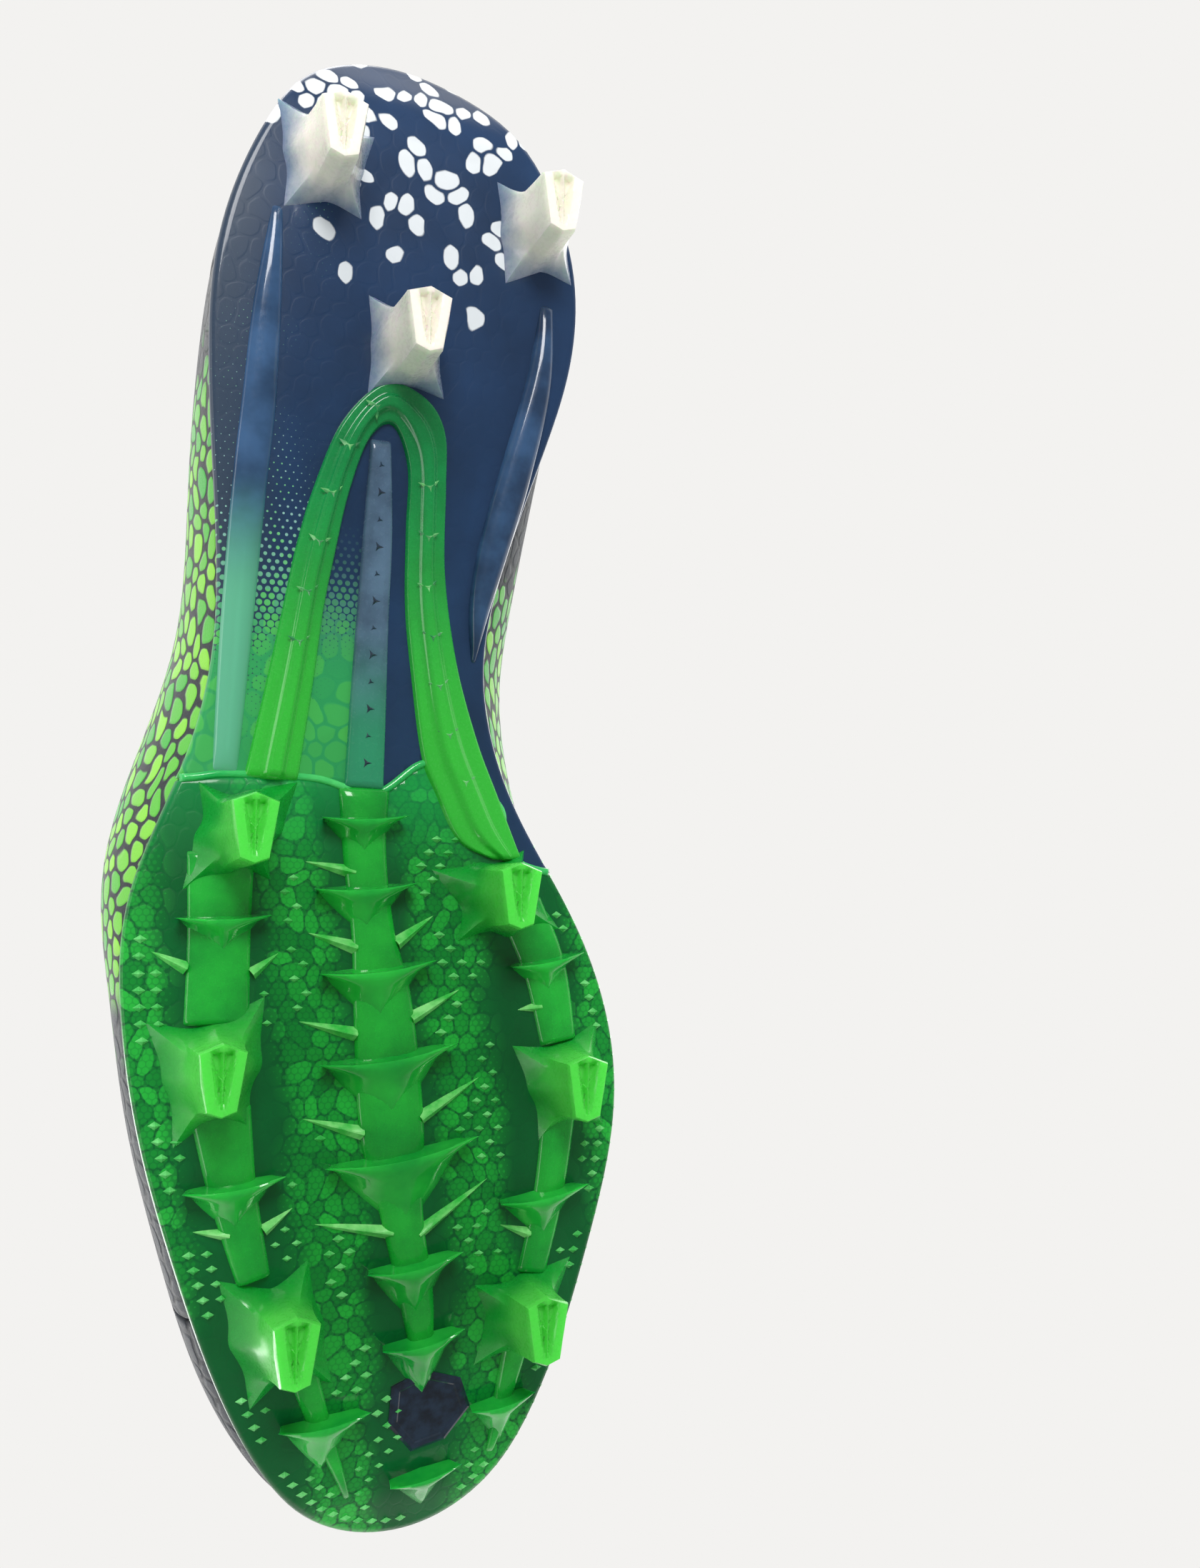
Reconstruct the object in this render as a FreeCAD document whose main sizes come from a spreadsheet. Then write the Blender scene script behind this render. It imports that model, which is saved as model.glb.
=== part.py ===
import FreeCAD, Part
import math
import os

# Soccer cleat for the left foot, standing on its studs.
# +Z is up, the toe points to -Y, the heel to +Y and the outer (lateral) side to +X.
# The origin is under the middle of the shoe's box, on the ground that the stud tips share.

V = FreeCAD.Vector
doc = FreeCAD.newDocument("SoccerCleat")
sheet = doc.addObject("Spreadsheet::Sheet", "Dimensions")

# Driving dimensions in millimetres.
DIMENSIONS = {
    "ShiftSide": -1.70,         # moves the whole shoe so that its box is centred on the origin
    "ShiftLength": -0.32,
    "PlateThickness": 2.0,
    "RimHeight": 0.8,           # lip of the plate around the foot of the upper, which bulges out over it
    "RimThickness": 1.0,
    "FilmThickness": 0.25,
    "FilmMargin": 0.3,          # from the rim's inner side to the film's edge
    "BoardThickness": 1.6,
    "BoardMargin": 0.7,         # from the lining to the board's edge
    "LinerMargin": 0.4,         # from the board's edge to the loose insole's
    "LinerThickness": 3.6,
    "LinerLift": 0.3,           # clearance under the loose insole
    "UpperInset": 1.6,          # from the plate's edge to the foot of the upper
    "SkinThickness": 1.2,
    "MiddleThickness": 1.1,     # counter, toe puff and foam between the skin and the lining
    "LiningThickness": 0.8,
    "PadThickness": 2.4,        # extra foam around the ankle
    "LayerGap": 0.05,
    "MouldGap": 0.12,           # clearance of the fins and barbs to the plate and to the ribs
    "EyestayThickness": 0.9,
    "EyeletRadius": 2.3,
    "RibHeight": 1.6,
    "ForkHeight": 2.2,
    "SpineHeight": 1.2,
    "RidgeHeight": 1.4,
    "FinHeight": 4.6,
    "BarbHeight": 1.5,
    "BadgeHeight": 0.5,
    "TongueThickness": 1.4,
    "TonguePadThickness": 2.2,
}
for row, (name, value) in enumerate(DIMENSIONS.items(), start=1):
    sheet.set(f"A{row}", name)
    sheet.set(f"B{row}", str(value))
    sheet.setAlias(f"B{row}", name)
doc.recompute()


def size(name):
    """A driving dimension, read from the sheet."""
    return float(getattr(sheet, name))


# Stations around the shoe: heel centre, outer side, toe, inner side. Each holds the plate's edge (x, y), the
# point of the collar or throat above it (x, y, z), how far the wall bulges out and how high it rises before
# it turns in, and the share of the way back to the plate's edge, and the drop, where it turns to the top.
STATIONS = [
    ((0, 144.5), (0, 136, 82), (6, 26), (0.6, -18)),
    ((19, 135.5), (13.5, 130.5, 79), (5, 25), (0.6, -17)),
    ((31.5, 113), (25, 112, 70), (3, 23), (0.5, -15)),
    ((36.5, 88), (29, 92, 64), (2, 21), (0.5, -14)),
    ((35, 58), (27.5, 69, 66.5), (8, 22), (0.5, -16)),
    ((33, 28), (22, 47, 79), (14, 25), (0.45, -17)),
    ((37.5, 2), (15.5, 32, 88), (20, 26), (0.40, -13)),
    ((46, -21), (13, 13, 81.5), (18, 24), (0.42, -9)),
    ((47.5, -42), (10.5, -5, 74), (11, 22), (0.45, -7)),
    ((43.8, -65), (8, -19, 68), (11, 20), (0.48, -6)),
    ((36.5, -89), (5.5, -29, 63.5), (13, 19), (0.50, -6)),
    ((26.5, -114), (2.8, -34.5, 61), (15, 18), (0.52, -6)),
    ((12, -136), (0, -37, 59.5), (12, 17), (0.55, -6)),
    ((-6, -144.5), (-3, -37.8, 59), (8, 17), (0.56, -6)),
    ((-23, -138.5), (-6, -37, 59.5), (7, 17), (0.55, -6)),
    ((-34.5, -118), (-8.8, -34, 61), (6, 18), (0.52, -6)),
    ((-41.5, -92), (-11.5, -28, 64), (6, 20), (0.50, -6)),
    ((-46.5, -66), (-14, -17.5, 68.5), (6, 21), (0.48, -6)),
    ((-44.5, -44), (-16.5, -3, 74.5), (7, 23), (0.45, -7)),
    ((-36.5, -24), (-19, 13, 81.5), (8, 26), (0.42, -9)),
    ((-25.5, -4), (-21.5, 31, 88), (22, 28), (0.40, -12)),
    ((-19.5, 18), (-25.5, 47, 80), (28, 28), (0.42, -17)),
    ((-22, 40), (-28.5, 65, 69), (26, 27), (0.45, -17)),
    ((-30, 66), (-30, 82, 64.5), (16, 24), (0.5, -15)),
    ((-35.8, 88), (-28.5, 99, 65), (7, 22), (0.5, -14)),
    ((-34.2, 112), (-23.5, 117, 72), (4, 23), (0.5, -15)),
    ((-20.5, 135.5), (-12.5, 131, 79), (5, 25), (0.6, -17)),
]
N = len(STATIONS)

# Height of the plate's underside at even steps from the toe to the heel. The studs reach down from here.
PROFILE_START = -150.0
PROFILE_STEP = 15.0
PROFILE = [28.5, 22.9, 18.4, 15.3, 13.3, 12.2, 12.1, 12.6, 13.8, 15.4, 16.9,
           17.7, 17.8, 17.0, 15.8, 14.8, 14.3, 14.2, 14.9, 18.2, 26.0]

SPLINE_POLE = math.sqrt(3) - 2
SPLINE_REACH = 9


def smooth(values):
    """A smooth periodic curve of a number, as a function, that takes values[k] at k."""
    count = len(values)
    weights = []
    near = range(-SPLINE_REACH, SPLINE_REACH + 1)
    for k in range(count):
        total = sum(values[(k + j) % count] * SPLINE_POLE ** abs(j) for j in near)
        weights.append(math.sqrt(3) * total)

    def curve(place):
        k = math.floor(place)
        f = place - k
        blend = ((1 - f) ** 3, 3 * f ** 3 - 6 * f * f + 4, -3 * f ** 3 + 3 * f * f + 3 * f + 1, f ** 3)
        return sum(b * weights[(k - 1 + j) % count] for j, b in enumerate(blend)) / 6
    return curve


edge_x, edge_y = (smooth([s[0][k] for s in STATIONS]) for k in range(2))
top_x, top_y, top_z = (smooth([s[1][k] for s in STATIONS]) for k in range(3))
bulge, rise = (smooth([s[2][k] for s in STATIONS]) for k in range(2))
reach, drop = (smooth([s[3][k] for s in STATIONS]) for k in range(2))
profile = smooth(PROFILE + PROFILE[-2:0:-1])


def height(y):
    """Height of the plate's underside at y."""
    return profile((y - PROFILE_START) / PROFILE_STEP)


def outward(u):
    """Horizontal unit vector that points away from the shoe at station u."""
    step = 0.01
    return V(edge_y(u - step) - edge_y(u + step), edge_x(u + step) - edge_x(u - step), 0).normalize()


def edge(u, inset=0.0):
    """Point of the plate's plan outline at station u, moved inwards by inset."""
    return V(edge_x(u), edge_y(u), 0) - outward(u) * inset


def wall(u, v):
    """Point of the upper's outer face: v is 0 where it meets the sole and 1 at the collar or throat."""
    foot = edge(u, size("UpperInset"))
    foot.z = height(foot.y) + size("PlateThickness") + size("FilmThickness") + size("LayerGap")
    top = V(top_x(u), top_y(u), top_z(u))
    low = foot + outward(u) * bulge(u) + V(0, 0, rise(u))
    high = top + V(foot.x - top.x, foot.y - top.y, 0) * reach(u) + V(0, 0, drop(u))
    w = 1 - v
    return foot * w ** 3 + low * (3 * w * w * v) + high * (3 * w * v * v) + top * v ** 3


def inwards(u, v):
    """Unit normal of the upper's outer face, pointing into the shoe."""
    step = 0.02
    along = wall(u + step, v) - wall(u - step, v)
    up = wall(u, min(v + step, 1)) - wall(u, max(v - step, 0))
    return along.cross(up).normalize()


def steps(low, high, count):
    return [low + (high - low) * k / count for k in range(count + 1)]


SEW = 0.001         # tolerance at which faces are joined, in millimetres


def solid_of(faces):
    shell = Part.makeShell(faces)
    shell.sewShape()
    solid = Part.makeSolid(shell)
    solid.fix(SEW, SEW, 10 * SEW)
    if solid.Volume < 0:
        solid.reverse()
    return solid


def spline(points):
    """Cubic curve through the points, whose parameter counts them."""
    curve = Part.BSplineCurve()
    curve.interpolate(Points=points, Parameters=[float(k) for k in range(len(points))])
    return curve


def poles_of(grid):
    """Poles of the smooth surface through a grid of points, row by row."""
    rows = [spline(row).getPoles() for row in grid]
    columns = [spline([row[k] for row in rows]).getPoles() for k in range(len(rows[0]))]
    return [[column[k] for column in columns] for k in range(len(columns[0]))]


def thick_sheet(outer, inner):
    """Closed solid between two grids of points that match row by row."""
    along, across = spline([row[0] for row in outer]), spline(outer[0])
    knots = [(curve.getMultiplicities(), curve.getKnots(), 3) for curve in (along, across)]
    straight = ([2, 2], [0.0, 1.0], 1)

    def face(poles, first, second):
        surface = Part.BSplineSurface()
        multiplicities, knots_of, degrees = zip(first, second)
        surface.buildFromPolesMultsKnots(poles, *multiplicities, *knots_of, False, False, *degrees)
        return surface.toShape()
    a, b = poles_of(outer), poles_of(inner)
    faces = [face(a, *knots), face(b, *knots)]
    for k in (0, -1):
        faces.append(face([a[k], b[k]], straight, knots[1]))
        faces.append(face([[row[k] for row in a], [row[k] for row in b]], straight, knots[0]))
    return solid_of(faces)


def polyhedron(sections):
    """Solid through a stack of sections with the same number of corners."""
    faces = []
    count = len(sections[0])

    def triangle(a, b, c):
        faces.append(Part.Face(Part.makePolygon([a, b, c, a])))
    for lower, upper in zip(sections, sections[1:]):
        for k in range(count):
            m = (k + 1) % count
            triangle(lower[k], lower[m], upper[k])
            triangle(lower[m], upper[m], upper[k])
    for cap in (sections[0], sections[-1]):
        middle = sum(cap, V()) * (1.0 / count)
        for k in range(count):
            triangle(middle, cap[k], cap[(k + 1) % count])
    return solid_of(faces)


# ---------------------------------------------------------------- document objects

kept = []


def helper(name, shape):
    """A shape that the sub-parts are made from."""
    item = doc.addObject("Part::Feature", name)
    item.Shape = shape
    return item


def compound(name, items):
    group = doc.addObject("Part::Compound", name)
    group.Links = items
    return group


def keep(item, name):
    """Makes a sub-part of a document object, moved to the centred frame, under the name of its file."""
    placed = compound(name + "_placed", [item])
    placed.Label = name
    placed.setExpression("Placement.Base.x", "Dimensions.ShiftSide")
    placed.setExpression("Placement.Base.y", "Dimensions.ShiftLength")
    kept.append(placed)
    return item


def boolean(kind, name, base, tool):
    item = doc.addObject(kind, name)
    item.Base = base
    item.Tool = tool
    return item


def common(name, base, tool):
    return boolean("Part::Common", name, base, tool)


def cut(name, base, *tools):
    """What the tools, taken away one after another, leave of base."""
    for k, tool in enumerate(tools):
        base = boolean("Part::Cut", f"{name}_cut{k}", base, tool)
    return base


def extruded(name, face, direction, length):
    item = doc.addObject("Part::Extrusion", name)
    item.Base = helper(name + "_face", face)
    item.DirMode = "Custom"
    item.Dir = direction
    item.LengthFwd = length
    item.Solid = True
    return item


PRISM_HEIGHT = 60.0
BLOCK_SIDE = 70.0
BLOCK_DEPTH = -40.0


def face_of(*stretches):
    """Flat face bounded by smooth stretches of points that follow one another, closed by straight lines."""
    edges = []
    for k, stretch in enumerate(stretches):
        edges.append(spline(stretch).toShape() if len(stretch) > 2 else Part.makeLine(*stretch))
        following = stretches[(k + 1) % len(stretches)][0]
        if stretch[-1].distanceToPoint(following) > SEW:
            edges.append(Part.makeLine(stretch[-1], following))
    return Part.Face(Part.Wire(Part.__sortEdges__(edges)))


def flat(points):
    return [V(x, y, 0) for x, y in points]


def outline(inset):
    """The shoe's plan outline, moved inwards."""
    curve = Part.BSplineCurve()
    curve.interpolate(Points=[edge(k / 2.0, inset) for k in range(2 * N)], PeriodicFlag=True)
    return Part.Face(Part.Wire(curve.toShape()))


def strip(points):
    """Face along a centre line of (x, y, half width)."""
    left, right = [], []
    for k, (x, y, half) in enumerate(points):
        before, after = points[max(k - 1, 0)], points[min(k + 1, len(points) - 1)]
        along = V(after[0] - before[0], after[1] - before[1], 0).normalize()
        side = V(-along.y, along.x, 0) * half
        left.append(V(x, y, 0) + side)
        right.append(V(x, y, 0) - side)
    return face_of(left, right[::-1])


BLOCK_END = 149.0
side_face = face_of([V(-BLOCK_SIDE, y, height(y)) for y in steps(-BLOCK_END, BLOCK_END, 60)],
                    [V(-BLOCK_SIDE, BLOCK_END, BLOCK_DEPTH), V(-BLOCK_SIDE, -BLOCK_END, BLOCK_DEPTH)])


def block(name, lift):
    """Everything below the plate's underside raised by lift, an expression on the sheet."""
    item = extruded(name, side_face, V(1, 0, 0), 2 * BLOCK_SIDE)
    item.setExpression("Placement.Base.z", lift)
    return item


def layer(name, face, low, high, *tools):
    """Layer of the sole with the face's plan, between two heights over the underside given as expressions.
    The tools are taken away from it."""
    prism = extruded(name + "_prism", face, V(0, 0, 1), PRISM_HEIGHT)
    upper = common(name + "_upper", prism, block(name + "_high", high))
    return cut(name, upper, block(name + "_low", low), *tools)


underneath = block("underneath", "0 mm")

# ---------------------------------------------------------------- sole plates

FAR = 80.0
# Rear edge of the front plate, from the outer side to the inner side.
SEAM = flat([(FAR, 3), (44, -2), (30, -1), (14.4, -1.1), (3, -3.5), (-6.3, 2.6), (-14, 3), (-22.4, -5),
             (-29, -17), (-FAR, -20)])
rear_face = face_of(SEAM, flat([(-FAR, 2 * FAR), (FAR, 2 * FAR)]))

RIM = "Dimensions.PlateThickness + Dimensions.RimHeight"
pocket_prism = extruded("pocket_prism", outline(size("RimThickness")), V(0, 0, 1), PRISM_HEIGHT)
pocket = cut("pocket", pocket_prism, block("pocket_floor", "Dimensions.PlateThickness"))
tray = layer("tray", outline(0), "0 mm", RIM, pocket)
rear_block = extruded("rear_block", rear_face, V(0, 0, 1), PRISM_HEIGHT)
keep(cut("front_plate", tray, rear_block), "forefoot_plate")
keep(common("rear_plate", tray, rear_block), "heel_plate")

FILM = "Dimensions.PlateThickness + Dimensions.FilmThickness"
BOARD = FILM + " + Dimensions.BoardThickness"
LINER = BOARD + " + Dimensions.LinerLift"
film_inset = size("RimThickness") + size("FilmMargin")
upper_thickness = size("SkinThickness") + size("MiddleThickness") + size("LiningThickness")
board_inset = size("UpperInset") + upper_thickness + size("BoardMargin")
liner_inset = board_inset + size("LinerMargin")
keep(layer("film", outline(film_inset), "Dimensions.PlateThickness", FILM), "printed_film")
keep(layer("board", outline(board_inset), FILM, BOARD), "lasting_board")
keep(layer("liner", outline(liner_inset), LINER, LINER + " + Dimensions.LinerThickness"), "sockliner")

# ---------------------------------------------------------------- studs

ROOT = 0.8          # how far a moulded body is drawn into the plate before it is trimmed to the underside


# Corners of a stud's end as shares of its half width and half length.
BLADE = [(0.98, 0.75), (0, 1.0), (-0.98, 0.75), (-0.84, 0), (-0.62, -0.85), (0, -1.0), (0.62, -0.85),
         (0.84, 0)]
# Reach of the arms and of the notches between them at the two levels of a stud's foot, then of its body.
STAR_SHARES = [(1.0, 0.80, 0.0), (0.74, 0.74, 0.16)]
BODY_SHARES = (0.60, 0.68)
# Levels between foot and end, with the body's share of the section there.
FLARE = [(0.45, 0.45), (0.75, 0.18)]


def star_section(centre, arms, arm_share, notch_share, level):
    """Eight corners: four arms and the notches between them. level is 0 at the plate and 1 at the ground."""
    corners = []
    for k, arm in enumerate(arms):
        following = arms[(k + 1) % 4]
        notch = (arm + following) * 0.5
        for goal, share in ((arm, arm_share), (notch, notch_share)):
            point = centre + (goal - centre) * share
            base = height(point.y) + ROOT
            corners.append(V(point.x, point.y, base * (1 - level)))
    return corners


def stud(name, tips, tip_size, lean):
    """Stud whose foot is a four-armed star on the plate and whose end is a tapered blade on the ground."""
    arms = flat(tips)
    centre = sum(arms, V()) * 0.25
    end = centre + V(lean[0], lean[1], 0)
    across, along = tip_size[0] / 2, tip_size[1] / 2
    ground = [V(end.x + x * across, end.y + y * along, 0) for x, y in BLADE]
    sections = [star_section(centre, arms, *shares) for shares in STAR_SHARES]
    for level, share in FLARE:
        body = star_section(centre, arms, *BODY_SHARES, level)
        sections.append([b * share + g * (1 - share) for b, g in zip(body, ground)])
        for point in sections[-1]:
            point.z = (height(centre.y) + ROOT) * (1 - level)
    sections.append(ground)
    raw = helper(name + "_raw", polyhedron(sections))
    return keep(common(name + "_stud", raw, underneath), name)


# Star tips go round each stud from its outer heel corner to its inner heel corner and on to the toe side.
FRONT_STUDS = {
    "stud_outer_rear": [(35.5, -2.5), (17, -1.5), (22.1, -20.5), (38.2, -22.5)],
    "stud_outer_ball": [(43.8, -44.5), (22.5, -40), (24.2, -65.6), (38.4, -67)],
    "stud_outer_toe": [(30, -89.5), (13.5, -87), (7.5, -111.5), (22.6, -114.5)],
    "stud_inner_rear": [(-8, -17.5), (-27.5, -13.2), (-35, -29.1), (-13, -31.5)],
    "stud_inner_ball": [(-23.6, -50.6), (-42.5, -46.6), (-44.2, -67.5), (-29.8, -70)],
    "stud_inner_toe": [(-17.8, -95.5), (-38.2, -92), (-35.6, -109), (-19, -112)],
}
HEEL_STUDS = {
    "heel_stud_outer": [(25.5, 127), (6.5, 124), (9, 106), (24.5, 105)],
    "heel_stud_inner": [(-18, 121), (-34, 122.5), (-35, 102), (-20, 99)],
    "heel_stud_centre": [(7.5, 92), (-8, 91.5), (-8.5, 74), (7, 72.5)],
}
FRONT_TIP = (8.0, 11.5)
HEEL_TIP = (8.5, 12.5)
FRONT_LEAN = (0, 0.5)
HEEL_LEAN = (0, 1.0)
front_studs = compound("front_studs", [stud(name, tips, FRONT_TIP, FRONT_LEAN)
                                       for name, tips in FRONT_STUDS.items()])
heel_studs = compound("heel_studs", [stud(name, tips, HEEL_TIP, HEEL_LEAN)
                                     for name, tips in HEEL_STUDS.items()])

# ---------------------------------------------------------------- ribs and fork

CENTRE_RIB = [(4.9, -2, 4.6), (4.8, -15, 3.8), (3.2, -30, 3.8), (1.4, -42, 5.2), (-0.8, -65, 5.8),
              (-3.5, -82, 3.8), (-6.7, -96, 3.0), (-8.8, -109, 1.6)]
OUTER_RIBS = [[(31.2, -17, 5.6), (31.3, -31, 5.3), (31.4, -44, 5.4)],
              [(30.4, -62, 5.0), (27.6, -75, 4.0), (23.2, -90, 2.8)],
              [(13.5, -108, 2.6), (9, -120, 1.8), (3, -135, 0.5)]]
INNER_RIBS = [[(-26, -25, 4.6), (-31, -36, 4.4), (-34, -50, 3.6)],
              [(-34.4, -64, 3.4), (-32.4, -80, 3.0), (-29.6, -94, 2.8)],
              [(-28, -108, 2.6), (-26, -119, 1.8), (-24.6, -130, 0.6)]]
FORK_OUTER = flat([(26.4, 3.6), (24, 15.7), (21.3, 30.5), (19.2, 42.7), (16.4, 54), (11.5, 67), (3.5, 75.5),
                   (-4.5, 74), (-8.9, 68), (-9.7, 57), (-10.3, 40.6), (-13.4, 22.8), (-18, 7.5),
                   (-22.4, -3.6), (-27, -16)])
FORK_INNER = flat([(-20.5, -15.5), (-13.5, -12), (-9, -3), (-6.3, 4), (-4.1, 19), (-2.4, 33), (-1.9, 48),
                   (-1.6, 60), (1.8, 67.5), (6.2, 64), (9.6, 53), (11.7, 41), (13.3, 31), (14.7, 18),
                   (16.5, 3)])
SPINE = [(3.9, 63, 1.6), (3.6, 46, 2.2), (3.9, 29.5, 2.4), (4.4, 12, 2.8), (4.9, 0, 3.2)]
OUTER_RIDGE = [(25.5, 102, 0.8), (26.6, 87, 2.0), (27.4, 68, 2.6), (28.4, 52, 2.6), (29.4, 30, 2.4),
               (30.6, 8, 2.0)]
INNER_RIDGE = [(-30, 94, 1.2), (-27.5, 78, 2.2), (-23.5, 62, 2.6), (-19.8, 46, 2.4), (-17.2, 34, 1.6),
               (-16.3, 24, 0.5)]
RIB_LOW = "-Dimensions.RibHeight"
RIDGE_LOW = "-Dimensions.RidgeHeight"

centre_rib = layer("centre_rib", strip(CENTRE_RIB), RIB_LOW, "0 mm", front_studs)
keep(centre_rib, "rib_centre")


def rib_group(name, lines):
    """Ribs of one row, cut back where its studs stand."""
    prisms = []
    for k, line in enumerate(lines):
        prisms.append(extruded(f"{name}_prism{k}", strip(line), V(0, 0, 1), PRISM_HEIGHT))
    upper = common(name + "_upper", compound(name + "_group", prisms), underneath)
    return keep(cut(name, upper, block(name + "_low", RIB_LOW), front_studs), name)


outer_ribs = rib_group("ribs_outer", OUTER_RIBS)
inner_ribs = rib_group("ribs_inner", INNER_RIBS)

fork_plan = face_of(FORK_OUTER, FORK_INNER)
fork = layer("fork", fork_plan, "-Dimensions.ForkHeight", "0 mm", front_studs, heel_studs, centre_rib)
keep(fork, "fork_frame")
keep(layer("spine", strip(SPINE), "-Dimensions.SpineHeight", "0 mm", centre_rib, fork), "window_spine")
outer_ridge = layer("outer_ridge", strip(OUTER_RIDGE), RIDGE_LOW, "0 mm", fork, heel_studs, front_studs)
keep(outer_ridge, "ridge_outer")
keep(layer("inner_ridge", strip(INNER_RIDGE), RIDGE_LOW, "0 mm", fork, heel_studs), "ridge_inner")

# ---------------------------------------------------------------- fins and barbs

# Fins: (x, y) of the rear edge's middle, width, reach to the toe, degrees by which the inner horn turns back.
FINS = {
    "fins_centre": [(5.5, -9, 17, 6.5, 3), (5.3, -22, 20, 7.5, 4), (3, -37, 22.5, 9, 6),
                    (0.8, -53, 27, 11, 7), (-2.2, -71, 29.5, 12.5, 8), (-5.4, -91, 18.5, 10, 8),
                    (-8, -105.5, 16, 10, 9)],
    "fins_outer": [(31, -27.5, 17, 6, 2), (28, -74, 18, 8, 6), (9.4, -118.5, 17, 9, 5)],
    "fins_inner": [(-30.6, -35.5, 15.5, 6, 10), (-30.4, -80, 18.5, 8, 8), (-25, -119.5, 13, 8, 10),
                   (-11, -132, 14, 7, 11)],
}
# Corners of a fin as shares of its width and its reach: its foot, its waist and its crest.
FIN_FOOT = [(0.44, -0.05), (0.24, -0.22), (0, -0.28), (-0.24, -0.22), (-0.44, -0.05), (-0.22, 0.45), (0, 1.1),
            (0.22, 0.45)]
FIN_WAIST = [(0.46, -0.1), (0.24, -0.08), (0, -0.06), (-0.24, -0.08), (-0.46, -0.1), (-0.22, 0.26), (0, 0.62),
             (0.22, 0.26)]
FIN_CREST = [(0.5, -0.16), (0.25, 0.0), (0, 0.06), (-0.25, 0.0), (-0.5, -0.16), (-0.25, 0.13), (0, 0.22),
             (0.25, 0.13)]
WAIST_SHARE = 0.62


def fin(x, y, width, length, turn):
    angle = math.radians(turn)
    across = V(math.cos(angle), -math.sin(angle), 0) * width
    ahead = V(-math.sin(angle), -math.cos(angle), 0) * length
    tall = size("FinHeight")
    sections = []
    for corners, depth in ((FIN_FOOT, size("MouldGap")), (FIN_WAIST, WAIST_SHARE * tall), (FIN_CREST, tall)):
        section = [V(x, y, 0) + across * a + ahead * b for a, b in corners]
        for point in section:
            point.z = height(point.y) - depth
        sections.append(section)
    return polyhedron(sections)


def room(points):
    """Room for a rib and the clearance around it, with flat faces."""
    line = spline([V(*point) for point in points])
    gap = size("MouldGap")
    sections = []
    for place in steps(0.0, len(points) - 1.0, 4 * (len(points) - 1)):
        x, y, half = line.value(place)
        direction = line.tangent(place)[0]
        side = V(-direction.y, direction.x, 0).normalize() * (half + gap)
        low = V(x, y, height(y) - size("RibHeight") - gap)
        high = V(x, y, height(y) + ROOT)
        sections.append([low + side, low - side, high - side, high + side])
    return polyhedron(sections)


# Barbs: thin slivers beside the ribs, from (x, y) of the root to (x, y) of the tip.
BARBS = [((7.9, -18.2), (16.5, -16.5)), ((7.5, -32), (15.8, -29.5)), ((7.6, -47.7), (17.5, -45.3)),
         ((-2, -31), (-8.6, -26.3)), ((-5.1, -44.9), (-13.9, -40.1)), ((-7.4, -63), (-18.2, -56.4)),
         ((37.5, -35.4), (43, -32.7)), ((25, -36.4), (20.5, -33)), ((-29.5, -43.8), (-25, -44.4)),
         ((6, -65.5), (16.5, -62.5)), ((0.2, -84), (13.8, -81.4)), ((-8, -84), (-20.7, -75.1)),
         ((28.8, -81.9), (34.5, -81)), ((21.5, -81.4), (16.7, -78)), ((-28, -86.6), (-22.3, -84.6))]
BARB_HALF_WIDTH = 1.2
BARB_CREST = [(0.0, 1.0), (0.7, 0.35), (0.0, 1.0)]      # place along the barb and share of its height


def barb(root, tip):
    a, b = V(*root, 0), V(*tip, 0)
    along = (b - a).normalize()
    side = V(-along.y, along.x, 0) * BARB_HALF_WIDTH
    foot = [a + side, b, a - side]
    crest = []
    for (place, share), sideways in zip(BARB_CREST, (0.2, 0, -0.2)):
        point = a + (b - a) * place + side * sideways
        point.z = height(point.y) - size("BarbHeight") * share
        crest.append(point)
    for point in foot:
        point.z = height(point.y) - size("MouldGap")
    return polyhedron([foot, crest])


rooms = {
    "fins_centre": [CENTRE_RIB],
    "fins_outer": OUTER_RIBS,
    "fins_inner": INNER_RIBS,
}
rib_rooms = {}
fin_parts = []
for name, rows in FINS.items():
    rib_rooms[name] = helper(name + "_rooms", Part.Compound([room(line) for line in rooms[name]]))
    raw = helper(name + "_raw", Part.Compound([fin(*row) for row in rows]))
    fin_parts.append(keep(cut(name, raw, rib_rooms[name], front_studs), name))

raw_barbs = helper("barbs_raw", Part.Compound([barb(*row) for row in BARBS]))
keep(cut("barbs", raw_barbs, *rib_rooms.values(), *fin_parts, front_studs), "rib_barbs")

# Blank pad with cut corners beside the middle fins' end.
BADGE = flat([(-3.5, -113.5), (-9.5, -111), (-17, -113.5), (-19.5, -119.5), (-15, -125.5), (-8.5, -127),
              (-3.5, -121)])
badge_plan = Part.Face(Part.makePolygon(BADGE + BADGE[:1]))
keep(layer("badge", badge_plan, "-Dimensions.BadgeHeight", "0 mm", *fin_parts), "toe_pad")

# ---------------------------------------------------------------- upper

GAP = size("LayerGap")
SKIN = size("SkinThickness")
MIDDLE = size("MiddleThickness")
LINING = size("LiningThickness")
EYESTAY = size("EyestayThickness")
VAMP_SEAMS = (10.35, 16.65)         # stations of the seams between the toe piece and the side pieces
HEEL_SEAM = 2.6                     # the same for the heel piece, either side of station 0
COLLAR_END = 5.65                   # where the ankle padding and the counter end
SEAM_GAP = 0.03
PAD_LEVELS = (0.55, 0.97)


def pad(u, v):
    """Extra depth of the ankle padding."""
    around = abs((u + N / 2) % N - N / 2) / COLLAR_END
    up = (v - PAD_LEVELS[0]) / (PAD_LEVELS[1] - PAD_LEVELS[0])
    if around >= 1 or not 0 < up < 1:
        return 0.0
    return size("PadThickness") * math.sin(math.pi * up) ** 2 * (1 - around ** 4) ** 2


def middle_far(u, v):
    return SKIN + GAP + MIDDLE + pad(u, v)


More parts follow.
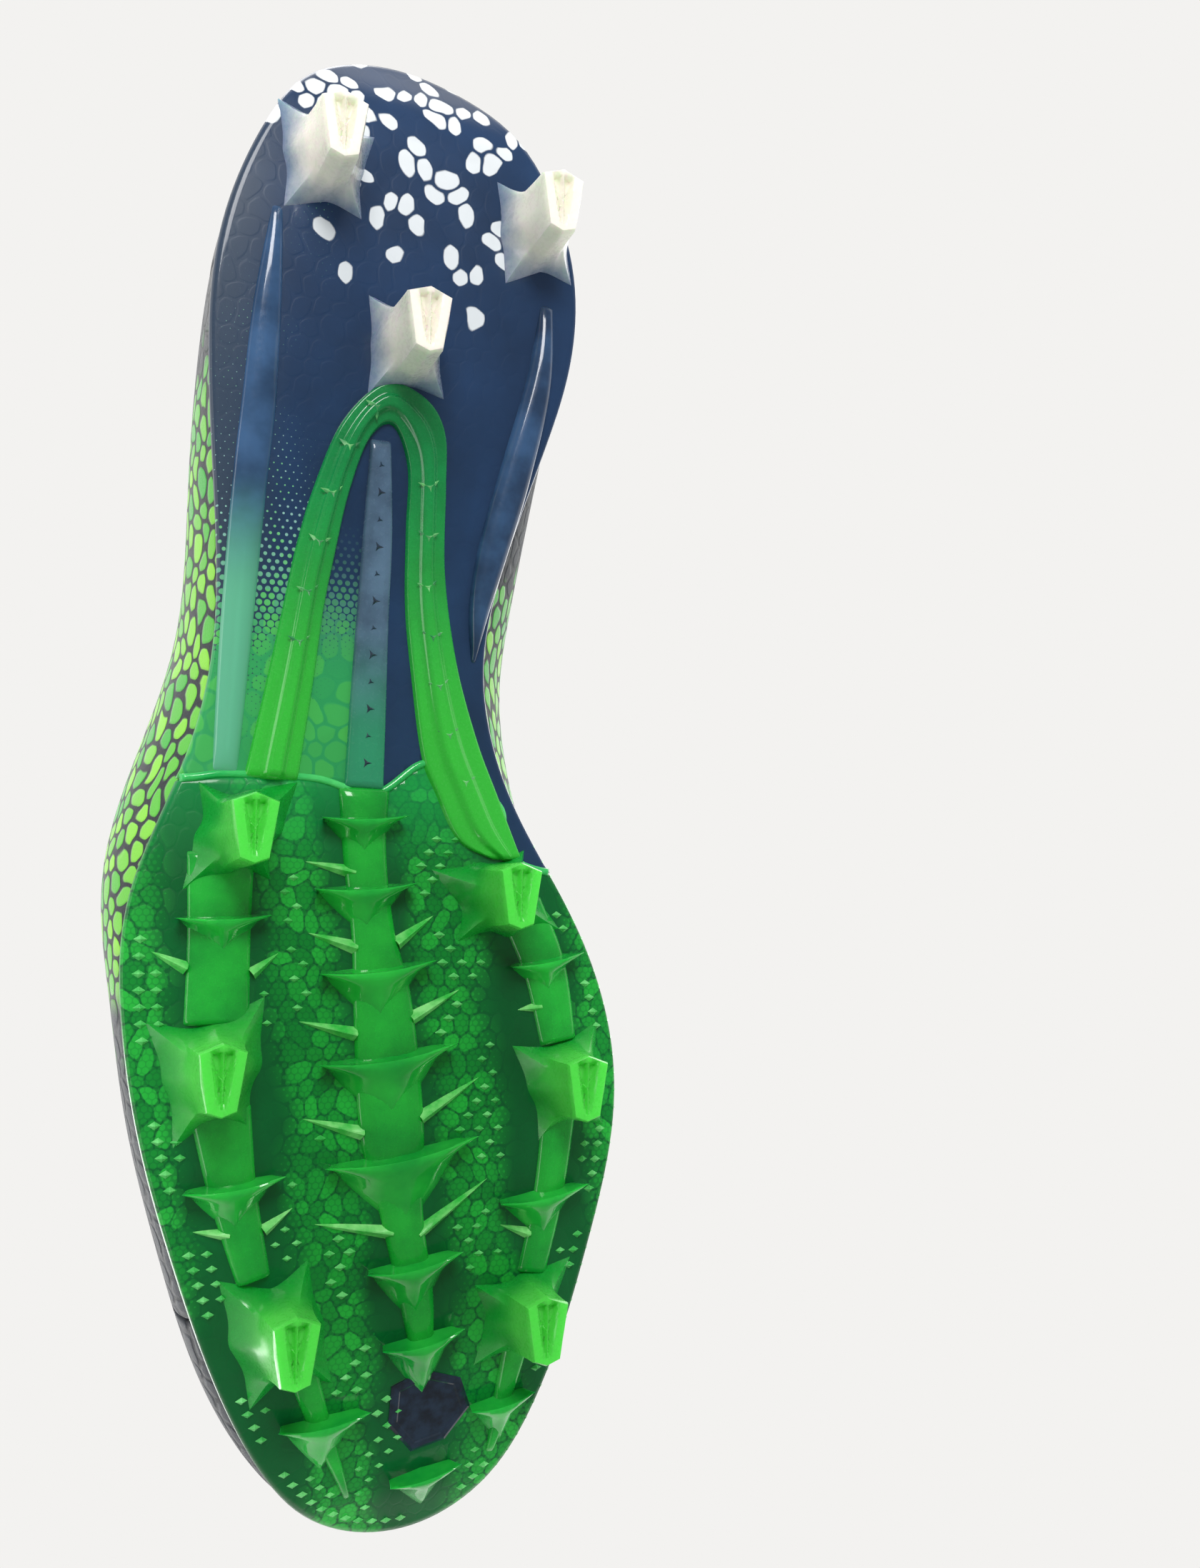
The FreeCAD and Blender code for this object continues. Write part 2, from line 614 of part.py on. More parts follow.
def lining_near(u, v):
    return middle_far(u, v) + GAP


def lining_far(u, v):
    return lining_near(u, v) + LINING


def patch(stations, levels, near, far, counts):
    """Part of the upper between two depths under its outer face, given as numbers or functions of (u, v)."""
    def grid(depth):
        rows = []
        for u in steps(*stations, counts[0]):
            row = []
            for v in steps(*levels, counts[1]):
                t = depth(u, v) if callable(depth) else depth
                row.append(wall(u, v) + inwards(u, v) * t)
            rows.append(row)
        return rows
    return thick_sheet(grid(near), grid(far))


# Eyelets: stations along the outer side of the throat and, mirrored, along its inner side.
EYELET_STATIONS = [6.8, 8.0, 8.7, 9.4, 10.05]
EYELET_LEVEL = 0.955
TOE_STATION = 13.5
DRILL_LENGTH = 12.0


def drills(side):
    """Cylinders through the upper at one side's eyelets."""
    tools = []
    for k, u in enumerate(EYELET_STATIONS):
        station = u if side == "outer" else 2 * TOE_STATION - u
        axis = inwards(station, EYELET_LEVEL)
        tool = doc.addObject("Part::Cylinder", f"drill_{side}_{k}")
        tool.setExpression("Radius", "Dimensions.EyeletRadius")
        tool.Height = DRILL_LENGTH
        start = wall(station, EYELET_LEVEL) - axis * (DRILL_LENGTH / 3)
        tool.Placement = FreeCAD.Placement(start, FreeCAD.Rotation(V(0, 0, 1), axis))
        tools.append(tool)
    return tools


drill_sets = {side: compound(side + "_drills", drills(side)) for side in ("outer", "inner")}


def upper_piece(name, stations, levels, near, far, counts, side=None):
    """A layer of the upper, with its side's eyelets through it where it reaches the throat."""
    item = helper(name + "_raw", patch(stations, levels, near, far, counts))
    if side is not None:
        item = cut(name + "_piece", item, drill_sets[side])
    return keep(item, name)


FULL = (0.0, 1.0)
INNER_FULL = (0.01, 0.985)
side_outer = (HEEL_SEAM, VAMP_SEAMS[0])
side_inner = (VAMP_SEAMS[1], N - HEEL_SEAM)
vamp_span = (VAMP_SEAMS[0] + SEAM_GAP, VAMP_SEAMS[1] - SEAM_GAP)
foam_outer = (COLLAR_END + SEAM_GAP, VAMP_SEAMS[0])
foam_inner = (VAMP_SEAMS[1], N - COLLAR_END - SEAM_GAP)
collar_span = (-COLLAR_END, COLLAR_END)
eyestay_outer = (6.1, VAMP_SEAMS[0] - 0.1)
eyestay_inner = (VAMP_SEAMS[1] + 0.1, N - 6.1)

upper_piece("heel_panel", (-HEEL_SEAM + SEAM_GAP, HEEL_SEAM - SEAM_GAP), FULL, 0.0, SKIN, (20, 10))
upper_piece("quarter_outer", side_outer, FULL, 0.0, SKIN, (28, 10), "outer")
upper_piece("quarter_inner", side_inner, FULL, 0.0, SKIN, (28, 10), "inner")
upper_piece("vamp", vamp_span, FULL, 0.0, SKIN, (26, 10))
upper_piece("heel_counter", collar_span, (0.01, 0.52), SKIN + GAP, SKIN + GAP + MIDDLE, (34, 8))
upper_piece("collar_pad", collar_span, PAD_LEVELS, SKIN + GAP, middle_far, (34, 8))
upper_piece("foam_outer", foam_outer, INNER_FULL, SKIN + GAP, SKIN + GAP + MIDDLE, (18, 8), "outer")
upper_piece("foam_inner", foam_inner, INNER_FULL, SKIN + GAP, SKIN + GAP + MIDDLE, (18, 8), "inner")
upper_piece("toe_puff", vamp_span, (0.01, 0.50), SKIN + GAP, SKIN + GAP + MIDDLE, (26, 8))
upper_piece("foam_vamp", vamp_span, (0.53, 0.985), SKIN + GAP, SKIN + GAP + MIDDLE, (26, 8))
upper_piece("lining_outer", (0.03, VAMP_SEAMS[0]), INNER_FULL, lining_near, lining_far, (36, 14), "outer")
upper_piece("lining_inner", (VAMP_SEAMS[1], N - 0.03), INNER_FULL, lining_near, lining_far, (36, 14), "inner")
upper_piece("lining_vamp", vamp_span, INNER_FULL, lining_near, lining_far, (26, 10))
upper_piece("eyestay_outer", eyestay_outer, (0.88, 0.998), -GAP - EYESTAY, -GAP, (16, 4), "outer")
upper_piece("eyestay_inner", eyestay_inner, (0.88, 0.998), -GAP - EYESTAY, -GAP, (16, 4), "inner")

# ---------------------------------------------------------------- tongue

# Centre line of the tongue's outer face, from its seam to its top: (y, z, half width).
TONGUE = [(-50, 52.6, 5), (-43, 53.4, 7), (-36, 55.2, 9.5), (-26, 60.0, 12.5), (-15, 65.4, 15.0),
          (-2, 71.2, 16.0), (12, 77.0, 15.0), (25, 82.0, 13.8), (34, 88.5, 14.0), (40, 97, 15.0),
          (43.5, 106, 13)]
TONGUE_X = -3.0
TONGUE_CROWN = 0.013


def tongue_sheet(near, far):
    """Part of the tongue between two depths under its outer face."""
    def grid(depth):
        rows = []
        for k, (y, z, half) in enumerate(TONGUE):
            before, after = TONGUE[max(k - 1, 0)], TONGUE[min(k + 1, len(TONGUE) - 1)]
            along = V(0, after[0] - before[0], after[1] - before[1]).normalize()
            down = V(0, along.z, -along.y)
            row = []
            for share in steps(-1, 1, 10):
                x = share * half
                fall = TONGUE_CROWN * x * x
                slope = 2 * TONGUE_CROWN * x
                normal = V(-slope, down.y, down.z).normalize()
                row.append(V(TONGUE_X + x, y, z) + down * fall + normal * depth)
            rows.append(row)
        return rows
    return thick_sheet(grid(near), grid(far))


tongue_cover = size("TongueThickness")
tongue_back = tongue_cover + GAP
tongue_full = tongue_back + size("TonguePadThickness")
for name, near, far in (("tongue", 0.0, tongue_cover), ("tongue_pad", tongue_back, tongue_full)):
    keep(helper(name + "_raw", tongue_sheet(near, far)), name)

# ---------------------------------------------------------------- files

doc.recompute()
os.makedirs("parts", exist_ok=True)
box = FreeCAD.BoundBox()
for item in kept:
    shape = item.Shape
    states = [s for s in item.State if s in ("Invalid", "Error")]
    if states or shape.isNull() or not shape.isValid() or not shape.Solids:
        raise RuntimeError(f"{item.Label} is not a sound solid: {states}")
    shape.exportStep(f"parts/{item.Label}.step")
    box.add(shape.BoundBox)
    print(item.Label, len(shape.Solids), "solids", round(shape.Volume), "mm3")
print(f"{len(kept)} sub-parts, box x {box.XMin:.2f} {box.XMax:.2f} y {box.YMin:.2f} {box.YMax:.2f} "
      f"z {box.ZMin:.3f} {box.ZMax:.2f}")
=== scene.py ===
import bpy
import bmesh
import math
import random
import numpy as np
from mathutils import Vector, Matrix


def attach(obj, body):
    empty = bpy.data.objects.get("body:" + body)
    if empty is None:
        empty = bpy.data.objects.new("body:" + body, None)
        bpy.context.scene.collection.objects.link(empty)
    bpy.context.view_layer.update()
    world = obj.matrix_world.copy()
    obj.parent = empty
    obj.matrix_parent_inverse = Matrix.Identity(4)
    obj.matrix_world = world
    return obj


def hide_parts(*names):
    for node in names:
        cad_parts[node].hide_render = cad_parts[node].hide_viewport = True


# Left soccer cleat. Shapes are worked out in millimetres on the design's own axes:
# +X outer side, +Y heel, +Z up.

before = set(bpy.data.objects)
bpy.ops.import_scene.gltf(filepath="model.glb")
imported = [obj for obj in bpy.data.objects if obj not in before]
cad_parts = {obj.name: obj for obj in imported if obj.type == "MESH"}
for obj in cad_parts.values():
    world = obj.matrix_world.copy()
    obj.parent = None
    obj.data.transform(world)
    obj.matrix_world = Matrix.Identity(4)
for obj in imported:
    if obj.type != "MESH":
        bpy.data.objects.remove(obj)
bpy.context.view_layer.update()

MM = 0.001
SHIFT = np.array([-1.70, -0.32, 0.0])       # from the design's axes to the row frame
RNG = random.Random(7)

# ---------------------------------------------------------------- the shoe's shape, as in the CAD source

STATIONS = [
    ((0, 144.5), (0, 136, 82), (6, 26), (0.6, -18)),
    ((19, 135.5), (13.5, 130.5, 79), (5, 25), (0.6, -17)),
    ((31.5, 113), (25, 112, 70), (3, 23), (0.5, -15)),
    ((36.5, 88), (29, 92, 64), (2, 21), (0.5, -14)),
    ((35, 58), (27.5, 69, 66.5), (8, 22), (0.5, -16)),
    ((33, 28), (22, 47, 79), (14, 25), (0.45, -17)),
    ((37.5, 2), (15.5, 32, 88), (20, 26), (0.40, -13)),
    ((46, -21), (13, 13, 81.5), (18, 24), (0.42, -9)),
    ((47.5, -42), (10.5, -5, 74), (11, 22), (0.45, -7)),
    ((43.8, -65), (8, -19, 68), (11, 20), (0.48, -6)),
    ((36.5, -89), (5.5, -29, 63.5), (13, 19), (0.50, -6)),
    ((26.5, -114), (2.8, -34.5, 61), (15, 18), (0.52, -6)),
    ((12, -136), (0, -37, 59.5), (12, 17), (0.55, -6)),
    ((-6, -144.5), (-3, -37.8, 59), (8, 17), (0.56, -6)),
    ((-23, -138.5), (-6, -37, 59.5), (7, 17), (0.55, -6)),
    ((-34.5, -118), (-8.8, -34, 61), (6, 18), (0.52, -6)),
    ((-41.5, -92), (-11.5, -28, 64), (6, 20), (0.50, -6)),
    ((-46.5, -66), (-14, -17.5, 68.5), (6, 21), (0.48, -6)),
    ((-44.5, -44), (-16.5, -3, 74.5), (7, 23), (0.45, -7)),
    ((-36.5, -24), (-19, 13, 81.5), (8, 26), (0.42, -9)),
    ((-25.5, -4), (-21.5, 31, 88), (22, 28), (0.40, -12)),
    ((-19.5, 18), (-25.5, 47, 80), (28, 28), (0.42, -17)),
    ((-22, 40), (-28.5, 65, 69), (26, 27), (0.45, -17)),
    ((-30, 66), (-30, 82, 64.5), (16, 24), (0.5, -15)),
    ((-35.8, 88), (-28.5, 99, 65), (7, 22), (0.5, -14)),
    ((-34.2, 112), (-23.5, 117, 72), (4, 23), (0.5, -15)),
    ((-20.5, 135.5), (-12.5, 131, 79), (5, 25), (0.6, -17)),
]
N = len(STATIONS)
PROFILE_START, PROFILE_STEP = -150.0, 15.0
PROFILE = [28.5, 22.9, 18.4, 15.3, 13.3, 12.2, 12.1, 12.6, 13.8, 15.4, 16.9, 17.7, 17.8, 17.0, 15.8, 14.8, 14.3,
           14.2, 14.9, 18.2, 26.0]
PLATE, FILM, UPPER_INSET, SKIN, MIDDLE, LINING, GAP = 2.0, 0.25, 1.6, 1.2, 1.1, 0.8, 0.05
PAD, COLLAR_END, PAD_LEVELS = 2.4, 5.65, (0.55, 0.97)
VAMP_SEAMS, HEEL_SEAM, TOE_STATION = (10.35, 16.65), 2.6, 13.5
EYELETS, EYELET_LEVEL, EYELET_RADIUS = [6.8, 8.0, 8.7, 9.4, 10.05], 0.955, 2.3


def smooth(values):
    """A smooth periodic curve of numbers that takes values[k] at k."""
    values = np.array(values, float)
    pole = math.sqrt(3) - 2
    weights = math.sqrt(3) * sum(np.roll(values, -j) * pole ** abs(j) for j in range(-9, 10))

    def curve(place):
        place = np.asarray(place, float)
        k = np.floor(place).astype(int)
        f = place - k
        blend = ((1 - f) ** 3, 3 * f ** 3 - 6 * f * f + 4, -3 * f ** 3 + 3 * f * f + 3 * f + 1, f ** 3)
        return sum(b * weights[(k - 1 + j) % len(values)] for j, b in enumerate(blend)) / 6
    return curve


edge_x, edge_y = (smooth([s[0][k] for s in STATIONS]) for k in range(2))
top_x, top_y, top_z = (smooth([s[1][k] for s in STATIONS]) for k in range(3))
bulge, rise = (smooth([s[2][k] for s in STATIONS]) for k in range(2))
reach, drop = (smooth([s[3][k] for s in STATIONS]) for k in range(2))
profile = smooth(PROFILE + PROFILE[-2:0:-1])


def height(y):
    """Height of the plate's underside at y."""
    return profile((np.asarray(y, float) - PROFILE_START) / PROFILE_STEP)


def stack(x, y, z):
    x, y, z = np.broadcast_arrays(np.asarray(x, float), np.asarray(y, float), np.asarray(z, float))
    return np.stack([x, y, z], axis=-1)


def unit(v):
    return v / np.maximum(np.linalg.norm(v, axis=-1, keepdims=True), 1e-9)


def outward(u):
    step = 0.01
    return unit(stack(edge_y(u - step) - edge_y(u + step), edge_x(u + step) - edge_x(u - step), 0))


def edge(u, inset=0.0):
    return stack(edge_x(u), edge_y(u), 0) - outward(u) * np.asarray(inset, float)[..., None]


def wall(u, v):
    """Point of the upper's outer face."""
    u, v = np.broadcast_arrays(np.asarray(u, float), np.asarray(v, float))
    out = outward(u)
    foot = stack(edge_x(u), edge_y(u), 0) - out * UPPER_INSET
    foot[..., 2] = height(foot[..., 1]) + PLATE + FILM + GAP
    top = stack(top_x(u), top_y(u), top_z(u))
    low = foot + out * bulge(u)[..., None] + stack(0, 0, rise(u))
    back = foot - top
    back[..., 2] = 0
    high = top + back * reach(u)[..., None] + stack(0, 0, drop(u))
    v = v[..., None]
    w = 1 - v
    return foot * w ** 3 + low * (3 * w * w * v) + high * (3 * w * v * v) + top * v ** 3


def inwards(u, v):
    step = 0.02
    along = wall(u + step, v) - wall(u - step, v)
    up = wall(u, np.minimum(v + step, 1)) - wall(u, np.maximum(v - step, 0))
    return unit(np.cross(along, up))


def pad(u, v):
    around = np.abs((u + N / 2) % N - N / 2) / COLLAR_END
    up = (v - PAD_LEVELS[0]) / (PAD_LEVELS[1] - PAD_LEVELS[0])
    amount = np.sin(math.pi * np.clip(up, 0, 1)) ** 2 * (1 - np.clip(around, 0, 1) ** 4) ** 2
    return PAD * amount


# ---------------------------------------------------------------- meshes

pieces = {}


def link(name, data):
    """A new object in the scene."""
    obj = bpy.data.objects.new(name, data)
    bpy.context.scene.collection.objects.link(obj)
    return obj


def new_object(name, verts, faces, body="shoe", pattern=None, smooth_shading=True):
    """A mesh piece from points in millimetres on the design's axes, with a point of the print per vertex."""
    verts = (np.asarray(verts, float).reshape(-1, 3) + SHIFT) * MM
    mesh = bpy.data.meshes.new(name)
    mesh.from_pydata(verts.tolist(), [], [list(map(int, f)) for f in faces])
    if pattern is not None:
        layer = mesh.uv_layers.new(name="pattern")
        corners = np.empty(len(mesh.loops), int)
        mesh.loops.foreach_get("vertex_index", corners)
        layer.data.foreach_set("uv", np.asarray(pattern, float).reshape(-1, 2)[corners].ravel())
    bm = bmesh.new()
    bm.from_mesh(mesh)
    bmesh.ops.remove_doubles(bm, verts=bm.verts, dist=1e-6)
    bmesh.ops.recalc_face_normals(bm, faces=bm.faces)
    for face in bm.faces:
        face.smooth = smooth_shading
    bm.to_mesh(mesh)
    bm.free()
    obj = link(name, mesh)
    if body:
        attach(obj, body)
    pieces[name] = obj
    return obj


def grid_faces(rows, columns, start=0, wrap_rows=False, wrap_columns=False):
    faces = []
    for i in range(rows if wrap_rows else rows - 1):
        for j in range(columns if wrap_columns else columns - 1):
            a = start + i * columns + j
            b = start + i * columns + (j + 1) % columns
            c = start + ((i + 1) % rows) * columns + (j + 1) % columns
            d = start + ((i + 1) % rows) * columns + j
            faces.append((a, b, c, d))
    return faces


def tube_faces(rings, sides):
    """Faces of a closed tube of rings, with an end face at both ends."""
    faces = grid_faces(rings, sides, wrap_columns=True)
    faces.append(tuple(range(sides))[::-1])
    faces.append(tuple((rings - 1) * sides + k for k in range(sides)))
    return faces


def closed_sheet(outer, inner):
    """Vertices and faces of the solid between two grids of points."""
    rows, columns = outer.shape[:2]
    count = rows * columns
    faces = grid_faces(rows, columns) + [f[::-1] for f in grid_faces(rows, columns, count)]
    border = [(i, 0) for i in range(rows)] + [(rows - 1, j) for j in range(1, columns)]
    border += [(i, columns - 1) for i in range(rows - 2, -1, -1)]
    border += [(0, j) for j in range(columns - 2, 0, -1)]
    ids = [i * columns + j for i, j in border]
    for k, a in enumerate(ids):
        b = ids[(k + 1) % len(ids)]
        faces.append((a, b, b + count, a + count))
    return np.concatenate([outer.reshape(-1, 3), inner.reshape(-1, 3)]), faces


def run_length(points):
    """Distance along a line of points, from its start."""
    return np.concatenate([[0], np.cumsum(np.linalg.norm(np.diff(points, axis=0), axis=1))])


def resample(points, count):
    """Points of a smooth curve through a list of points, evenly spaced."""
    p = np.array(points, float)
    padded = np.vstack([2 * p[0] - p[1], p, 2 * p[-1] - p[-2]])
    dense = []
    for k in range(1, len(padded) - 2):
        a, b, c, d = padded[k - 1:k + 3]
        for t in np.linspace(0, 1, 24, endpoint=False):
            dense.append(0.5 * (2 * b + (c - a) * t + (2 * a - 5 * b + 4 * c - d) * t ** 2
                                + (3 * b - 3 * c + d - a) * t ** 3))
    dense.append(p[-1])
    dense = np.array(dense)
    run = run_length(dense[:, :2])
    places = np.linspace(0, run[-1], count)
    return np.stack([np.interp(places, run, dense[:, k]) for k in range(dense.shape[1])], axis=1)


SUNK = 0.6          # how far pieces on the plate reach into it
BITE = 0.15         # how far inside the plate the visible side of a raised piece starts


def relief(name, left, right, depth, shape, count=90, across=16, ends=(4.0, 4.0)):
    """Raised strip under the plate between two plan curves. shape gives its height over the width."""
    left, right = resample(left, count)[:, :2], resample(right, count)[:, :2]
    t = 0.5 - 0.5 * np.cos(np.linspace(0, math.pi, across + 1))
    xy = left[:, None] * (1 - t)[None, :, None] + right[:, None] * t[None, :, None]
    middle = (left + right) / 2
    run = run_length(middle)
    start = np.clip(run / max(ends[0], 0.01), 0, 1)
    stop = np.clip((run[-1] - run) / max(ends[1], 0.01), 0, 1)
    taper = np.sqrt(1 - (1 - start) ** 2) * np.sqrt(1 - (1 - stop) ** 2)
    lift = depth * shape(t)[None, :] * taper[:, None]
    ground = height(xy[..., 1])
    outer = stack(xy[..., 0], xy[..., 1], ground + BITE - lift)
    inner = stack(xy[..., 0], xy[..., 1], ground + SUNK)
    verts, faces = closed_sheet(outer, inner)
    return new_object(name, verts, faces)


def side_lines(points):
    """Left and right plan curves of a strip given as (x, y, half width)."""
    p = resample(points, 60)
    along = unit(np.gradient(p[:, :2], axis=0))
    side = np.stack([-along[:, 1], along[:, 0]], axis=1) * p[:, 2:3]
    return p[:, :2] + side, p[:, :2] - side


def rounded(power):
    return lambda t: np.maximum(1 - np.abs(2 * t - 1) ** power, 0) ** (1 / 2.0)


def join(name, objects):
    """Joins meshes into one piece."""
    bm = bmesh.new()
    for obj in objects:
        bm.from_mesh(obj.data)
    mesh = bpy.data.meshes.new(name)
    bm.to_mesh(mesh)
    bm.free()
    for obj in objects:
        pieces.pop(obj.name, None)
        bpy.data.objects.remove(obj)
    obj = link(name, mesh)
    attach(obj, "shoe")
    pieces[name] = obj
    return obj


# ---------------------------------------------------------------- sole plate

SEAM = [(80, 3), (44, -2), (30, -1), (14.4, -1.1), (3, -3.5), (-6.3, 2.6), (-14, 3), (-22.4, -5), (-29, -17),
        (-80, -20)]
SEAM_LINE = resample(SEAM, 400)


def seam_y(x):
    order = np.argsort(SEAM_LINE[:, 0])
    return np.interp(x, SEAM_LINE[order, 0], SEAM_LINE[order, 1])


RIM_TOP = 2.8       # top of the rim over the plate's underside
MIDDLE_X = -1.5     # the line that the plate's and the insole's grids close on


def plate_points():
    """Grid around the shoe (rows) and from the top of the rim, under the plate, to its middle (columns)."""
    u = np.arange(0, N, 0.1)
    middle = stack(MIDDLE_X, np.clip(edge_y(u), -112, 112), 0)
    shares = np.concatenate([[0, 0.012, 0.03, 0.055], np.linspace(0.09, 1, 46)])
    rows = []
    for inset, rim in ((1.05, 1.0), (0.55, 1.04), (0.12, 0.9), (0.0, 0.6), (0.06, 0.3), (0.45, 0.06)):
        p = edge(u, np.full(len(u), inset))
        p[:, 2] = height(p[:, 1]) + RIM_TOP * rim * 0.98
        rows.append(p)
    start = edge(u, np.full(len(u), 1.2))
    for share in shares:
        p = start * (1 - share) + middle * share
        p[:, 2] = height(p[:, 1]) - 0.25 * math.sin(math.pi * min(share * 1.3, 1))
        rows.append(p)
    return np.stack(rows, axis=1)


def plate_piece(name, keep_front):
    """Front or rear half of the sole plate: underside, rim and top, cut off along the seam."""
    outer = plate_points()
    inner = outer.copy()
    inner[:, :6, :2] = edge(np.arange(0, N, 0.1), np.full(outer.shape[0], 1.15))[:, None, :2]
    inner[:, 0:2, 2] = outer[:, 0:2, 2]
    inner[:, 2:, 2] = height(inner[:, 2:, 1]) + PLATE
    rows, columns = outer.shape[:2]
    count = rows * columns
    outer, inner = outer.reshape(-1, 3), inner.reshape(-1, 3)
    beyond = (outer[:, 1] > seam_y(outer[:, 0])) == keep_front
    for sheet in (outer, inner):
        line = seam_y(sheet[:, 0])
        sheet[beyond, 2] += (height(line) - height(sheet[:, 1]))[beyond]
        sheet[beyond, 1] = line[beyond]
    quads = [f for f in grid_faces(rows, columns, 0, wrap_rows=True) if not all(beyond[i] for i in f)]
    uses = {}
    for f in quads:
        for a, b in zip(f, f[1:] + f[:1]):
            uses.setdefault((min(a, b), max(a, b)), []).append((a, b))
    faces = quads + [tuple(i + count for i in f[::-1]) for f in quads]
    for found in uses.values():
        a, b = found[0]
        if len(found) == 1 and not (a % columns == columns - 1 and b % columns == columns - 1):
            faces.append((b, a, a + count, b + count))
    used = sorted({i for f in faces for i in f})
    renumber = {old: new for new, old in enumerate(used)}
    verts = np.concatenate([outer, inner])[used]
    obj = new_object(name, verts, [[renumber[i] for i in f] for f in faces])
    bm = bmesh.new()
    bm.from_mesh(obj.data)
    bmesh.ops.dissolve_degenerate(bm, edges=bm.edges, dist=1e-6)
    bm.to_mesh(obj.data)
    bm.free()
    return obj


def carve(obj, tool, operation="DIFFERENCE"):
    """Boolean of two objects, applied to the first one's mesh."""
    mod = obj.modifiers.new("carve", "BOOLEAN")
    mod.object = tool
    mod.operation = operation
    mod.solver = "EXACT"
    bpy.context.view_layer.update()
    graph = bpy.context.evaluated_depsgraph_get()
    mesh = bpy.data.meshes.new_from_object(obj.evaluated_get(graph))
    obj.modifiers.remove(mod)
    old = obj.data
    obj.data = mesh
    mesh.name = obj.name
    bpy.data.meshes.remove(old)


front_plate = plate_piece("front_sole_plate", True)
rear_plate = plate_piece("rear_sole_plate", False)

# ---------------------------------------------------------------- ribs, fork and ridges

# A rib, ridge or spine is a list of (x, y, half width).
CENTRE_RIB = [(4.9, -2, 5.0), (4.8, -15, 4.2), (3.2, -30, 4.2), (1.4, -42, 5.6), (-0.8, -65, 6.2),
              (-3.5, -82, 4.0), (-7.2, -98, 3.2), (-9.8, -114, 1.4)]
OUTER_RIBS = [[(31.2, -15, 6.0), (31.3, -31, 5.6), (31.4, -46, 5.8)],
              [(30.4, -60, 5.4), (27.6, -75, 4.2), (23.2, -91, 3.0)],
              [(14, -107, 2.8), (9, -120, 1.9), (2.6, -135, 0.5)]]
INNER_RIBS = [[(-26, -24, 4.8), (-31, -36, 4.6), (-34, -51, 3.8)],
              [(-34.4, -62, 3.6), (-32.4, -80, 3.2), (-29.6, -95, 3.0)],
              [(-28, -107, 2.8), (-26, -119, 1.9), (-24.6, -130, 0.7)]]
FORK_OUTER = [(27.6, -1.8), (24, 15.7), (21.3, 30.5), (19.2, 42.7), (16.4, 54), (11.5, 67), (3.5, 75.5),
              (-4.5, 74), (-8.9, 68), (-9.7, 57), (-10.3, 40.6), (-13.4, 22.8), (-18, 7.5),
              (-22.4, -3.6), (-27, -16)]
FORK_INNER = [(-20.5, -15.5), (-13.5, -12), (-9, -3), (-6.3, 4), (-4.1, 19), (-2.4, 33), (-1.9, 48), (-1.6, 60),
              (1.8, 67.5), (6.2, 64), (9.6, 53), (11.7, 41), (13.3, 31), (14.7, 18), (17.4, -2.0)]
SPINE = [(3.9, 64.5, 2.0), (3.6, 46, 2.9), (3.9, 29.5, 3.2), (4.4, 12, 3.6), (5.0, -3.0, 3.8)]
OUTER_RIDGE = [(25.2, 106, 1.0), (26.4, 87, 2.6), (27.2, 68, 3.2), (28.2, 52, 3.2), (29.2, 30, 3.0),
               (30.2, 10, 2.6), (30.8, -1.2, 2.2)]
INNER_RIDGE = [(-29.5, 97, 1.4), (-28, 80, 2.8), (-24, 62, 3.4), (-20, 46, 3.2), (-17.6, 34, 2.2),
               (-16.6, 23, 0.4)]

RIB_DEPTH = 1.7


def side_ribs(side, ribs):
    """The ribs of one side, from the waist to the toe. The last one runs out in a long taper."""
    made = []
    for k, rib in enumerate(ribs):
        tapers = (1, 9 if k == len(ribs) - 1 else 1)
        made.append(relief(f"{side}_rib_{k}", *side_lines(rib), RIB_DEPTH, rounded(3.5), 40, ends=tapers))
    return join(side + "_ribs", made)


rib_centre = relief("centre_rib", *side_lines(CENTRE_RIB), RIB_DEPTH, rounded(4), ends=(2, 6))
ribs_outer = side_ribs("outer", OUTER_RIBS)
ribs_inner = side_ribs("inner", INNER_RIBS)


def fork_shape(t):
    """Flat band at each side and a raised ridge between them."""
    places = [0, 0.04, 0.08, 0.30, 0.40, 0.62, 0.72, 0.92, 0.96, 1]
    heights = [0, 0.42, 0.52, 0.56, 1, 1, 0.56, 0.52, 0.42, 0]
    return np.interp(t, places, heights)


fork = relief("fork_arms", FORK_OUTER, FORK_INNER[::-1], 2.5, fork_shape, 170, 44, ends=(1.5, 1.5))
spine = relief("window_ridge", *side_lines(SPINE), 1.3, rounded(8), 70, 18, ends=(3, 1))
ridge_outer = relief("outer_ridge", *side_lines(OUTER_RIDGE), 1.6, rounded(2.2), 90, 18, ends=(16, 8))
ridge_inner = relief("inner_ridge", *side_lines(INNER_RIDGE), 2.4, rounded(2.0), 90, 18, ends=(16, 12))

# ---------------------------------------------------------------- studs

